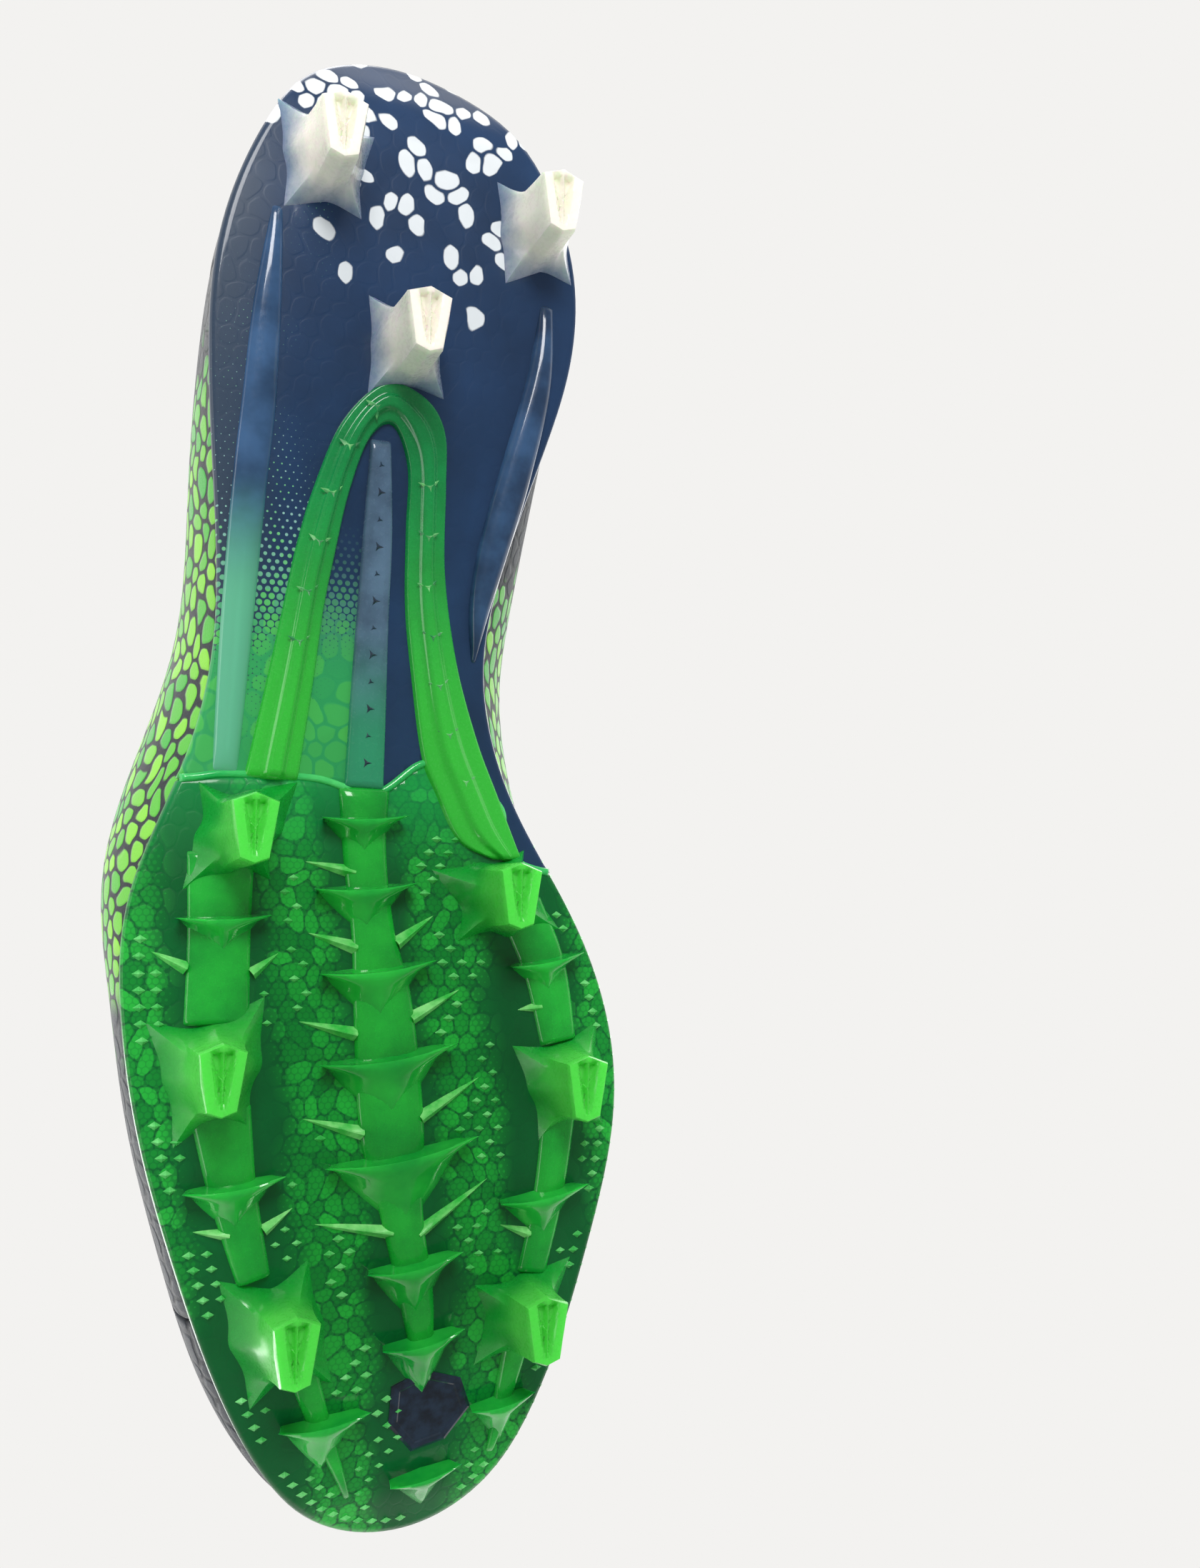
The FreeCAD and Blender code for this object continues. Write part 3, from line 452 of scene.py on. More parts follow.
FRONT_STUDS = {
    "stud_outer_rear": [(35.5, -2.5), (17, -1.5), (22.1, -20.5), (38.2, -22.5)],
    "stud_outer_ball": [(43.8, -44.5), (22.5, -40), (24.2, -65.6), (38.4, -67)],
    "stud_outer_toe": [(30, -89.5), (13.5, -87), (7.5, -111.5), (22.6, -114.5)],
    "stud_inner_rear": [(-8, -17.5), (-27.5, -13.2), (-35, -29.1), (-13, -31.5)],
    "stud_inner_ball": [(-23.6, -50.6), (-42.5, -46.6), (-44.2, -67.5), (-29.8, -70)],
    "stud_inner_toe": [(-17.8, -95.5), (-38.2, -92), (-35.6, -109), (-19, -112)],
}
HEEL_STUDS = {
    "heel_stud_outer": [(25.5, 127), (6.5, 124), (9, 106), (24.5, 105)],
    "heel_stud_inner": [(-18, 121), (-34, 122.5), (-35, 102), (-20, 99)],
    "heel_stud_centre": [(7.5, 92), (-8, 91.5), (-8.5, 74), (7, 72.5)],
}
# Shares of a stud's height at which its rings lie, from just inside the plate to the ground.
STUD_LEVELS = [-0.03, 0, 0.02, 0.045, 0.075, 0.11, 0.15, 0.20, 0.26, 0.33, 0.42, 0.52, 0.64, 0.76, 0.88,
               0.955, 1.0]
# Outline of a stud's foot, in shares of half its width and half its length.
BLADE = [(0.98, 0.75), (0, 1.0), (-0.98, 0.75), (-0.84, 0), (-0.62, -0.85), (0, -1.0), (0.62, -0.85), (0.84, 0)]


def polar_radius(polygon, angle):
    """Distance from the origin to a convex polygon's edge in each direction."""
    direction = np.stack([np.cos(angle), np.sin(angle)], axis=1)
    best = np.full(len(angle), np.inf)
    for k, a in enumerate(polygon):
        b = polygon[(k + 1) % len(polygon)]
        normal = np.array([b[1] - a[1], a[0] - b[0]])
        distance = np.dot(normal, a)
        if distance < 0:
            normal, distance = -normal, -distance
        facing = direction @ normal
        hit = np.where(facing > 1e-6, distance / np.maximum(facing, 1e-6), np.inf)
        best = np.minimum(best, hit)
    return best


def stud(name, arms, tip, lean, body_share, thorn, level_power):
    """Stud that flares from a blade on the ground into a four-armed star on the plate."""
    arms = np.array(arms, float)
    centre = arms.mean(axis=0)
    relative = arms - centre
    arm_angle = np.arctan2(relative[:, 1], relative[:, 0]) % (2 * math.pi)
    arm_length = np.linalg.norm(relative, axis=1)
    half = np.array(tip) / 2
    corner_angle = np.arctan2([y * half[1] for _, y in BLADE], [x * half[0] for x, _ in BLADE]) % (2 * math.pi)
    even = np.linspace(0, 2 * math.pi, 120, endpoint=False)
    exact = np.concatenate([arm_angle, corner_angle])
    even = even[np.min(np.abs(even[:, None] - exact[None]), axis=1) > 0.02]
    angle = np.sort(np.concatenate([even, exact]))
    ground_r = polar_radius([(x * half[0], y * half[1]) for x, y in BLADE], angle)
    gap = np.abs((angle[:, None] - arm_angle[None] + math.pi) % (2 * math.pi) - math.pi)
    near = np.exp(-(gap / 0.6) ** 2)
    mean_arm = (near * arm_length).sum(axis=1) / near.sum(axis=1)
    body_r = mean_arm * body_share
    spike = np.clip(1 - gap / thorn, 0, 1)
    rings = []
    for s in STUD_LEVELS:
        up = max(s, 0)
        flare = (1 - up) ** level_power
        radius = ground_r + (body_r - ground_r) * flare
        arm_reach = (arm_length[None] - body_r[:, None]) * spike ** (3.4 + 5 * up)
        radius = radius + arm_reach.max(axis=1).clip(0) * max(1 - up / 0.42, 0) ** 1.7
        if s == 1.0:
            radius = radius - 0.3
        x = centre[0] + lean[0] * up + radius * np.cos(angle)
        y = centre[1] + lean[1] * up + radius * np.sin(angle)
        rings.append(stack(x, y, (height(y) + BITE) * (1 - s)))
    for share in (0.86, 0.80, 0.66, 0.5, 0.34, 0.18, 0.05):
        radius = (ground_r - 0.3) * share
        a, b = radius * np.cos(angle) / half[0], radius * np.sin(angle) / half[1]
        spread = 0.14 + 0.36 * np.clip((b + 0.7) / 1.4, 0, 1)
        valley = np.clip((spread - np.abs(a)) / 0.12, 0, 1) * np.clip(np.abs(a) / 0.12, 0, 1)
        depth = 1.3 * valley * np.clip((0.80 - np.abs(b)) / 0.12, 0, 1)
        x = centre[0] + lean[0] + radius * np.cos(angle)
        y = centre[1] + lean[1] + radius * np.sin(angle)
        rings.append(stack(x, y, depth))
    grid = np.stack(rings)
    obj = new_object(name + "_body", grid, tube_faces(*grid.shape[:2]))
    obj.data.set_sharp_from_angle(angle=math.radians(38))
    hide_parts(name)
    return obj


front_stud_objects = [stud(n, a, (8.4, 12.5), (0, 0.5), 0.56, 0.9, 2.0) for n, a in FRONT_STUDS.items()]
heel_stud_objects = [stud(n, a, (8.8, 12.8), (0, 1.0), 0.58, 1.0, 1.6) for n, a in HEEL_STUDS.items()]

# ---------------------------------------------------------------- fins and barbs

FINS = {
    "fins_centre": [(5.5, -9, 17, 6.5, 3), (5.3, -22, 20, 7.5, 4), (3, -37, 22.5, 9, 6), (0.8, -53, 27, 11, 7),
                    (-2.2, -71, 29.5, 12.5, 8), (-5.4, -91, 18.5, 10, 8), (-8, -105.5, 16, 10, 9)],
    "fins_outer": [(31, -27.5, 17, 6, 2), (28, -74, 18, 8, 6), (9.4, -118.5, 17, 9, 5)],
    "fins_inner": [(-30.6, -35.5, 15.5, 6, 10), (-30.4, -80, 18.5, 8, 8), (-25, -119.5, 13, 8, 10),
                   (-11, -132, 14, 7, 11)],
}
FIN_HEIGHT = 4.6


def fin(name, x, y, width, length, turn):
    """Swept delta tooth: steep towards the heel, sloping to a point on the rib towards the toe."""
    angle = math.radians(turn)
    across = np.array([math.cos(angle), -math.sin(angle)])
    ahead = np.array([-math.sin(angle), -math.cos(angle)])
    a = np.sin(np.linspace(-math.pi / 2, math.pi / 2, 33))
    k = np.abs(a)
    body = 1 - k
    sweep = -0.16 * length * k ** 1.8
    crest_h = FIN_HEIGHT * (1 - 0.10 * k ** 2)
    front = length * np.clip(body, 0, 1) ** 0.85
    # Each row: share of the half width, place towards the toe, height over the plate.
    rows = [
        (a * 0.84, sweep * 0.7 - 1.6 * body ** 0.6, -0.6 * np.ones_like(a)),
        (a * 0.85, sweep * 0.7 - 1.5 * body ** 0.6, 0.0 * a),
        (a * 0.90, sweep * 0.8 - 0.75 * body ** 0.6, crest_h * 0.40),
        (a * 0.955, sweep * 0.92 - 0.5 * body ** 0.6, crest_h * 0.80),
        (a * 0.985, sweep * 0.98 - 0.42 * body ** 0.6, crest_h * 0.965),
        (a * 1.0, sweep - 0.05 * body, crest_h),
        (a * 0.985, sweep + 0.12 * front + 0.12, crest_h * 0.94),
        (a * 0.93, sweep * 0.8 + 0.32 * front, crest_h * 0.66 + 0.2 * body),
        (a * 0.88, sweep * 0.7 + 0.58 * front, crest_h * (0.36 + 0.12 * body)),
        (a * 0.85, sweep * 0.6 + 0.82 * front, crest_h * 0.13 + 0.9 * body ** 3),
        (a * 0.84, sweep * 0.6 + 1.05 * front, 0.0 * a),
        (a * 0.84, sweep * 0.6 + 1.08 * front, -0.6 * np.ones_like(a)),
    ]
    grid = []
    for s, t, h in rows:
        xy = np.array([x, y]) + (s * width / 2)[:, None] * across + t[:, None] * ahead
        grid.append(stack(xy[:, 0], xy[:, 1], height(xy[:, 1]) - h))
    grid = np.stack(grid)
    count, columns = grid.shape[:2]
    faces = grid_faces(count, columns, wrap_rows=True)
    faces.append(tuple(r * columns for r in range(count)))
    faces.append(tuple(r * columns + columns - 1 for r in range(count))[::-1])
    obj = new_object(name, grid, faces)
    obj.data.set_sharp_from_angle(angle=math.radians(50))
    return obj


fin_objects = {}
for node, rows in FINS.items():
    made = [fin(f"{node}_{k}", *row) for k, row in enumerate(rows)]
    fin_objects[node] = join(node + "_teeth", made)
    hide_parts(node)

BARBS = [((7.9, -18.2), (16.5, -16.5)), ((7.5, -32), (15.8, -29.5)), ((7.6, -47.7), (17.5, -45.3)),
         ((-2, -31), (-8.6, -26.3)), ((-5.1, -44.9), (-13.9, -40.1)), ((-7.4, -63), (-18.2, -56.4)),
         ((37.5, -35.4), (43, -32.7)), ((25, -36.4), (20.5, -33)), ((-29.5, -43.8), (-25, -44.4)),
         ((6, -65.5), (16.5, -62.5)), ((0.2, -84), (13.8, -81.4)), ((-8, -84), (-20.7, -75.1)),
         ((28.8, -81.9), (34.5, -81)), ((21.5, -81.4), (16.7, -78)), ((-28, -86.6), (-22.3, -84.6))]


def barb(name, root, tip):
    a, b = np.array(root, float), np.array(tip, float)
    a = a - 0.12 * (b - a)
    share = np.linspace(0, 1, 10)[:, None]
    line = a + (b - a) * share
    along = (b - a) / np.linalg.norm(b - a)
    side = np.array([-along[1], along[0]])
    half = 1.35 * (1 - share) ** 0.8 + 0.03
    top = 1.7 * (1 - share[:, 0]) ** 0.7 + 0.05
    columns = [line + side * half, line + side * half * 0.12, line - side * half * 0.12, line - side * half]
    lifts = [0 * top, top, top, 0 * top]
    surface = [stack(c[:, 0], c[:, 1], height(c[:, 1]) + 0.1 - h) for c, h in zip(columns, lifts)]
    outer = np.stack(surface, axis=1)
    inner = outer.copy()
    inner[..., 2] = height(inner[..., 1]) + SUNK
    verts, faces = closed_sheet(outer, inner)
    return new_object(name, verts, faces, smooth_shading=False)


barbs = join("rib_slivers", [barb(f"barb_{k}", *row) for k, row in enumerate(BARBS)])
for piece, node in ((barbs, "rib_barbs"), (rib_centre, "rib_centre"), (ribs_outer, "ribs_outer"),
                    (ribs_inner, "ribs_inner"), (fork, "fork_frame"), (spine, "window_spine"),
                    (ridge_outer, "ridge_outer"), (ridge_inner, "ridge_inner"),
                    (front_plate, "forefoot_plate"), (rear_plate, "heel_plate")):
    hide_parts(node)

# ---------------------------------------------------------------- small raised marks on the plate


def far_from(point, centres, distance):
    return all(math.hypot(point[0] - c[0], point[1] - c[1]) > distance for c in centres)


stud_centres = [tuple(np.mean(a, axis=0)) for a in FRONT_STUDS.values()]


def near_rib(x, y):
    for rib in [CENTRE_RIB] + OUTER_RIBS + INNER_RIBS:
        for px, py, half in resample(rib, 30):
            if math.hypot(x - px, y - py) < half + 1.4:
                return True
    return False


def near_fin(x, y):
    for rows in FINS.values():
        for fx, fy, width, length, _ in rows:
            if abs(x - fx) < width / 2 + 1.2 and -length < y - fy < 4.5:
                return True
    return False


def near_barb(x, y):
    for root, tip in BARBS:
        a, b = np.array(root), np.array(tip)
        t = np.clip(np.dot([x - a[0], y - a[1]], b - a) / np.dot(b - a, b - a), 0, 1)
        if np.linalg.norm(a + (b - a) * t - [x, y]) < 2.0:
            return True
    return False


def centre_offset(x, y):
    """Distance to the outer side of the middle rib's line."""
    return x - (5.3 + 0.135 * y)


def pip(place, turn, width, tall):
    x, y = place
    corners = [(math.cos(turn + k * math.pi / 2), math.sin(turn + k * math.pi / 2)) for k in range(4)]
    long_way = (1.25, 0.8, 1.25, 0.8)
    base = [(x + c * width * f, y + s * width * f) for (c, s), f in zip(corners, long_way)]
    verts = [(px, py, float(height(py)) + 0.3) for px, py in base]
    verts.append((x, y, float(height(y)) - tall))
    return verts, [(0, 1, 4), (1, 2, 4), (2, 3, 4), (3, 0, 4), (3, 2, 1, 0)]


def along_edge(inset, first, last, spacing):
    """Stations and points spaced evenly along the plate's edge, set in from it."""
    run, previous = 0.0, None
    for u in np.arange(first, last, 0.01):
        p = edge(np.array([u]), np.array([inset]))[0]
        if previous is not None:
            run += np.linalg.norm(p - previous)
        previous = p
        if run > spacing:
            run = 0.0
            yield u, p


def pip_field():
    """Places of the small pyramids: two rows along each edge, and staggered rows on the open fields."""
    spots = []
    for inset, first, last in ((3.0, 7.3, 13.2), (5.9, 7.6, 12.8), (3.2, 13.6, 19.2), (6.0, 14.0, 18.6)):
        spots += [(p[0], p[1]) for _, p in along_edge(inset, first, last, 2.8)]
    for row, y in enumerate(np.arange(-134, -10, 2.6), start=1):
        for x in np.arange(-46, 48, 3.8):
            px = x + (1.9 if row % 2 else 0) + 0.12 * y
            d = centre_offset(px, y)
            open_field = 4 < d < 18 or -19 < d < -4 or d < -24 or 22 < d < 33
            if y < -95:
                open_field = abs(d) > 5
            if not open_field or math.sin(px * 0.21 + y * 0.09) < -0.75:
                continue
            spots.append((px, y))
    chosen = []
    for x, y in spots:
        if y > float(seam_y(x)) - 7:
            continue
        inside = min(np.linalg.norm(EDGE_LOOP - [x, y], axis=1)) > 2.4
        if not inside or not in_outline(x, y):
            continue
        if near_rib(x, y) or near_fin(x, y) or near_barb(x, y) or not far_from((x, y), stud_centres, 12.0):
            continue
        if all(math.hypot(x - a, y - b) > 2.6 for a, b in chosen):
            chosen.append((x, y))
    return chosen


EDGE_LOOP = edge(np.arange(0, N, 0.05))[:, :2]


def in_outline(x, y):
    inside = False
    for (x0, y0), (x1, y1) in zip(EDGE_LOOP, np.roll(EDGE_LOOP, -1, axis=0)):
        if (y0 > y) != (y1 > y) and x < (x1 - x0) * (y - y0) / (y1 - y0) + x0:
            inside = not inside
    return inside


def many(name, parts, **words):
    """One mesh from a list of (vertices, faces)."""
    verts, faces = [], []
    for v, f in parts:
        start = len(verts)
        verts += list(v)
        faces += [tuple(i + start for i in face) for face in f]
    return new_object(name, verts, faces, **words)


pips = many("plate_pyramids", [pip(p, 0.0, 1.25, 0.95) for p in pip_field()], smooth_shading=False)


def edge_teeth():
    """Small teeth along the inner edge of the front plate."""
    parts = []
    for u, p in along_edge(0.2, 13.8, 19.6, 3.3):
        out = outward(np.array([u]))[0]
        along = np.array([-out[1], out[0], 0])
        base = p + np.array([0, 0, float(height(p[1])) + 1.6])
        verts = [base + along * 1.1 - out * 0.6, base - along * 1.1 - out * 0.6,
                 base - np.array([0, 0, 1.7]) - out * 0.3, base + np.array([0, 0, 1.2]) - out * 0.3,
                 base + out * 0.75]
        parts.append((verts, [(0, 2, 4), (2, 1, 4), (1, 3, 4), (3, 0, 4), (0, 3, 1, 2)]))
    return parts


teeth = many("edge_teeth", edge_teeth(), smooth_shading=False)


def star_mark(x, y, turn, size, lift, tall):
    """Raised three-pointed mark."""
    verts = []
    for k in range(6):
        r = size if k % 2 == 0 else size * 0.30
        a = turn + k * math.pi / 3
        px, py = x + r * math.cos(a), y + r * math.sin(a)
        verts.append((px, py, float(height(py)) - lift + 0.25))
    verts.append((x, y, float(height(y)) - lift - tall))
    faces = [(k, (k + 1) % 6, 6) for k in range(6)] + [(5, 4, 3, 2, 1, 0)]
    return verts, faces


def fork_marks():
    outer = resample(FORK_OUTER, 200)
    inner = resample(FORK_INNER[::-1], 200)
    parts = []
    for k in list(range(30, 86, 11)) + list(range(112, 186, 11)):
        x, y = (outer[k] * 0.5 + inner[k] * 0.5)[:2]
        parts.append(star_mark(x, y, math.radians(-90 + RNG.uniform(-14, 14)), 2.5, 2.15, 0.45))
    return parts


def window_marks():
    """Large and small marks by turns along the ridge in the window."""
    parts = []
    for k, (x, y, _) in enumerate(resample(SPINE, 14)[1:-1]):
        turn, size = (180, 2.0) if k % 2 else (195, 1.3)
        parts.append(star_mark(x, y, math.radians(turn), size, 1.15, 0.3))
    return parts


marks = many("fork_marks", fork_marks(), smooth_shading=False)
spine_marks = many("window_marks", window_marks(), smooth_shading=False)


def seam_lip():
    """Rounded lip of the front plate along its rear edge."""
    inside = [p for p in SEAM_LINE[:, :2] if in_outline(p[0], p[1])]
    line = resample(inside, 150)
    along = unit(np.gradient(line, axis=0))
    side = np.stack([-along[:, 1], along[:, 0]], axis=1)
    return line + side * 0.75, line - side * 0.75


lip = relief("seam_lip", *seam_lip(), 0.75, rounded(2), 160, 8, ends=(0.5, 0.5))

BADGE = [(-3.5, -113.5), (-9.5, -111), (-17, -113.5), (-19.5, -119.5), (-15, -125.5), (-8.5, -127),
         (-3.5, -121)]
# From the plate up: share of the outline's size and lift off the plate. The middle lies a little deeper.
BADGE_RINGS = ((1.0, -0.4), (1.0, 0.25), (0.93, 0.5), (0.80, 0.5), (0.76, 0.3), (0.3, 0.3), (0.02, 0.3))


def badge():
    centre = np.mean(BADGE, axis=0)
    rings = []
    for share, lift in BADGE_RINGS:
        ring = [centre + (np.array(p) - centre) * share for p in BADGE]
        rings.append([(x, y, float(height(y)) - lift) for x, y in ring])
    grid = np.array(rings)
    faces = tube_faces(*grid.shape[:2])
    obj = new_object("blank_toe_pad", grid, faces, smooth_shading=False)
    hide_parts("toe_pad")
    return obj


badge_obj = badge()

# ---------------------------------------------------------------- upper


def print_place(u, v):
    """Place in the printed pattern, in millimetres: along the shoe and up its wall."""
    dense = np.arange(-N, 2 * N, 0.05)
    line = wall(dense, np.full(len(dense), 0.3))
    run = run_length(line)
    s = np.interp(u, dense, run)
    grid = wall(u, v)
    up = np.concatenate([np.zeros((grid.shape[0], 1)),
                         np.cumsum(np.linalg.norm(np.diff(grid, axis=1), axis=2), axis=1)], axis=1)
    return np.stack([s, up], axis=-1)


def panel(name, stations, levels, near, far, shape, node, crown=0.0):
    """A layer of the upper between two depths. crown lifts its middle a little, as stretched skin does."""
    u, v = np.meshgrid(np.linspace(*stations, shape[0]), np.linspace(*levels, shape[1]), indexing="ij")
    normal = inwards(u, v)
    points = wall(u, v)
    near_d = near(u, v) if callable(near) else np.full(u.shape, near)
    far_d = far(u, v) if callable(far) else np.full(u.shape, far)
    s = (u - stations[0]) / (stations[1] - stations[0])
    t = (v - levels[0]) / (levels[1] - levels[0])
    rim = np.clip(np.minimum(np.minimum(s, 1 - s) * shape[0], np.minimum(t, 1 - t) * shape[1]) / 2.0, 0, 1)
    near_d = near_d - crown * rim
    outer = points + normal * near_d[..., None]
    inner = points + normal * far_d[..., None]
    verts, faces = closed_sheet(outer, inner)
    place = print_place(u, v)
    obj = new_object(name, verts, faces, pattern=np.concatenate([place.reshape(-1, 2)] * 2))
    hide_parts(node)
    return obj


def middle_far(u, v):
    return SKIN + GAP + MIDDLE + pad(u, v)


def lining_near(u, v):
    return middle_far(u, v) + GAP


def lining_far(u, v):
    return lining_near(u, v) + LINING


SEAM_GAP = 0.03             # stations left free at each end of the toe and heel panels
FULL_WALL = (0, 1)
LINED = (0.01, 0.99)
EYESTAY = (0.875, 0.999)
STAY_OUTSIDE = -GAP - 0.9
first_seam, last_seam = VAMP_SEAMS


def skin(name, first, last, shape, node, crown=0.0):
    return panel(name, (first, last), FULL_WALL, 0, SKIN, shape, node, crown)


def lining(name, first, last, node):
    return panel(name, (first, last), LINED, lining_near, lining_far, (150, 50), node)


def eyestay(name, first, last, node):
    return panel(name, (first, last), EYESTAY, STAY_OUTSIDE, -GAP, (90, 14), node)


heel_panel = skin("heel_panel_skin", -HEEL_SEAM + SEAM_GAP, HEEL_SEAM - SEAM_GAP, (90, 50), "heel_panel", 0.15)
quarter_outer = skin("outer_side_skin", HEEL_SEAM, first_seam, (150, 60), "quarter_outer")
quarter_inner = skin("inner_side_skin", last_seam, N - HEEL_SEAM, (150, 60), "quarter_inner")
vamp = skin("toe_skin", first_seam + SEAM_GAP, last_seam - SEAM_GAP, (130, 60), "vamp")
lining_outer = lining("outer_lining", 0.0, first_seam, "lining_outer")
lining_inner = lining("inner_lining", last_seam, N, "lining_inner")
eyestay_outer = eyestay("outer_eyestay", 6.1, 10.25, "eyestay_outer")
eyestay_inner = eyestay("inner_eyestay", 16.75, N - 6.1, "eyestay_inner")


def eyelet_frames(side):
    for k in EYELETS:
        station = np.array(k if side == "outer" else 2 * TOE_STATION - k)
        yield wall(station, np.array(EYELET_LEVEL)), inwards(station, np.array(EYELET_LEVEL))


def punch(objects, side):
    """Opens the eyelets through the layers of one side."""
    bm = bmesh.new()
    for centre, normal in eyelet_frames(side):
        spin = Vector(normal).to_track_quat("Z", "Y").to_matrix().to_4x4()
        place = Matrix.Translation(Vector((centre + SHIFT + normal * 1.5) * MM)) @ spin
        bmesh.ops.create_cone(bm, cap_ends=True, segments=28, radius1=EYELET_RADIUS * MM,
                              radius2=EYELET_RADIUS * MM, depth=12 * MM, matrix=place)
    mesh = bpy.data.meshes.new("punch")
    bm.to_mesh(mesh)
    bm.free()
    tool = link("punch", mesh)
    for obj in objects:
        carve(obj, tool)
        obj.data.polygons.foreach_set("use_smooth", [True] * len(obj.data.polygons))
    bpy.data.objects.remove(tool)


punch([quarter_outer, lining_outer, eyestay_outer], "outer")
punch([quarter_inner, lining_inner, eyestay_inner], "inner")


def eyelet_ring(centre, normal, lift):
    """Rounded ring around an eyelet."""
    x_axis = unit(np.cross(normal, [0, 0, 1.0]))
    y_axis = np.cross(normal, x_axis)
    major, minor, segs, sides = 2.75, 0.42, 36, 10
    verts = []
    for i in range(segs):
        a = 2 * math.pi * i / segs
        spoke = x_axis * math.cos(a) + y_axis * math.sin(a)
        for j in range(sides):
            b = 2 * math.pi * j / sides
            verts.append(centre - normal * lift + spoke * (major + minor * 1.5 * math.cos(b))
                         - normal * minor * math.sin(b))
    return verts, grid_faces(segs, sides, wrap_rows=True, wrap_columns=True)


eyelets = [place for side in ("outer", "inner") for place in eyelet_frames(side)]
rings = many("eyelet_rims", [eyelet_ring(centre, normal, 0.95) for centre, normal in eyelets])


def binding(name, first, last, wide, tall):
    """Rolled edge along an opening of the upper."""
    u = np.linspace(first, last, 260)
    level = np.full(len(u), 0.99)
    centre = wall(u, level)
    normal = inwards(u, level)
    up = unit(wall(u, np.full(len(u), 1.0)) - wall(u, np.full(len(u), 0.97)))
    depth = (SKIN + MIDDLE + LINING) / 2
    ends = np.sqrt(np.clip(1 - (np.abs(2 * u - first - last) / (last - first)) ** 14, 0.02, 1))
    grid = []
    sides = 20
    for k in range(sides):
        a = 2 * math.pi * k / sides
        grid.append(centre + normal * (depth + wide * ends * math.cos(a))[:, None]
                    + up * ((0.6 + tall * math.sin(a)) * ends)[:, None])
    grid = np.stack(grid, axis=1)
    rows, columns = grid.shape[:2]
    along = np.repeat(np.arange(rows) * 1.6, columns)
    around = np.tile(np.arange(columns) * 0.6, rows)
    place = np.stack([along, around], axis=1)
    return new_object(name, grid, tube_faces(rows, columns), pattern=place)


collar = binding("collar_binding", -6.35, 6.35, 2.15, 1.7)
throat = binding("throat_binding", 6.25, N - 6.25, 1.95, 0.9)


# Along a stitch: share of its length, radius.
STITCH_RINGS = ((-0.06, 0.04), (0.1, 0.24), (0.5, 0.30), (0.9, 0.24), (1.06, 0.04))
STITCH_SIDES = 6


def stitches(stations, level, gap, lift):
    """Row of short stitches along a level line of the upper."""
    u = np.linspace(*stations, 900)
    v = np.full(len(u), level)
    line = wall(u, v)
    normal = inwards(u, v)
    run = run_length(line)
    parts = []
    for start in np.arange(0.6, run[-1] - gap, gap):
        ends = [np.array([np.interp(start + d, run, line[:, k]) for k in range(3)]) for d in (0, gap * 0.66)]
        n = unit(np.array([np.interp(start, run, normal[:, k]) for k in range(3)]))
        along = unit(ends[1] - ends[0])
        side = np.cross(n, along)
        verts = []
        for share, thick in STITCH_RINGS:
            p = ends[0] * (1 - share) + ends[1] * share - n * lift
            for k in range(STITCH_SIDES):
                a = 2 * math.pi * k / STITCH_SIDES
                verts.append(p + side * thick * math.cos(a) - n * thick * math.sin(a))
        parts.append((verts, tube_faces(len(STITCH_RINGS), STITCH_SIDES)))
    return parts


seam_stitches = []
for low, high in ((6.2, 10.2), (16.8, N - 6.2)):
    seam_stitches += stitches((low, high), 0.885, 2.2, 0.95)
thread = many("stitching", seam_stitches)

# ---------------------------------------------------------------- tongue and insole

# Points of the tongue's middle line: y, height, half width.
TONGUE = [(-50, 52.6, 5), (-43, 53.4, 7), (-36, 55.2, 9.5), (-26, 60.0, 12.5), (-15, 65.4, 15.0),
          (-2, 71.2, 16.0), (12, 77.0, 15.0), (25, 82.0, 13.8), (34, 88.5, 14.0),
          (40, 97, 15.0), (43.5, 106, 13)]
TONGUE_X, TONGUE_CROWN, TONGUE_ROWS = -3.0, 0.013, 110


def tongue_piece(name, near, far, node, bulge_size):
    line = resample(TONGUE, TONGUE_ROWS)
    along = unit(np.gradient(line[:, :2], axis=0))
    share = np.sin(np.linspace(-math.pi / 2, math.pi / 2, 41))
    end = np.clip((np.linspace(0, 1, TONGUE_ROWS) - 0.93) / 0.07, 0, 1)
    half = line[:, 2] * np.sqrt(np.clip(1 - end ** 2 * 0.55, 0, 1))
    x = share[None] * half[:, None]
    fall = TONGUE_CROWN * x * x
    normal = unit(stack(-2 * TONGUE_CROWN * x, along[:, 1:2] + 0 * x, -along[:, 0:1] + 0 * x))
    y = line[:, 0:1] + along[:, 1:2] * fall
    z = line[:, 1:2] - along[:, 0:1] * fall
    base = stack(TONGUE_X + x, y, z)
    soft = (1 - np.abs(share[None]) ** 6) * np.ones((TONGUE_ROWS, 1))
    rows = np.arange(TONGUE_ROWS)
    rim = np.minimum(1, np.minimum(rows, rows[::-1])[:, None] / 4.0)
    wave = np.abs(np.sin(np.linspace(0, 7 * math.pi, TONGUE_ROWS))[:, None]) ** 0.5
    quilt = bulge_size * (wave - 0.6) * soft * rim
    outer = base + normal * near
    inner = base + normal * (near + (far - near) * (0.35 + 0.65 * np.sqrt(soft * rim)) + quilt)[..., None]
    verts, faces = closed_sheet(outer, inner)
    run = np.linspace(0, 115, TONGUE_ROWS)[:, None] + 0 * x
    place = np.stack([x, run], axis=-1).reshape(-1, 2)
    obj = new_object(name, verts, faces, body="tongue", pattern=np.concatenate([place, place]))
    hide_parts(node)
    return obj


tongue = tongue_piece("tongue_cover", 0.0, 1.4, "tongue", 0.0)
tongue_back = tongue_piece("tongue_padding", 1.45, 3.3, "tongue_pad", 0.22)


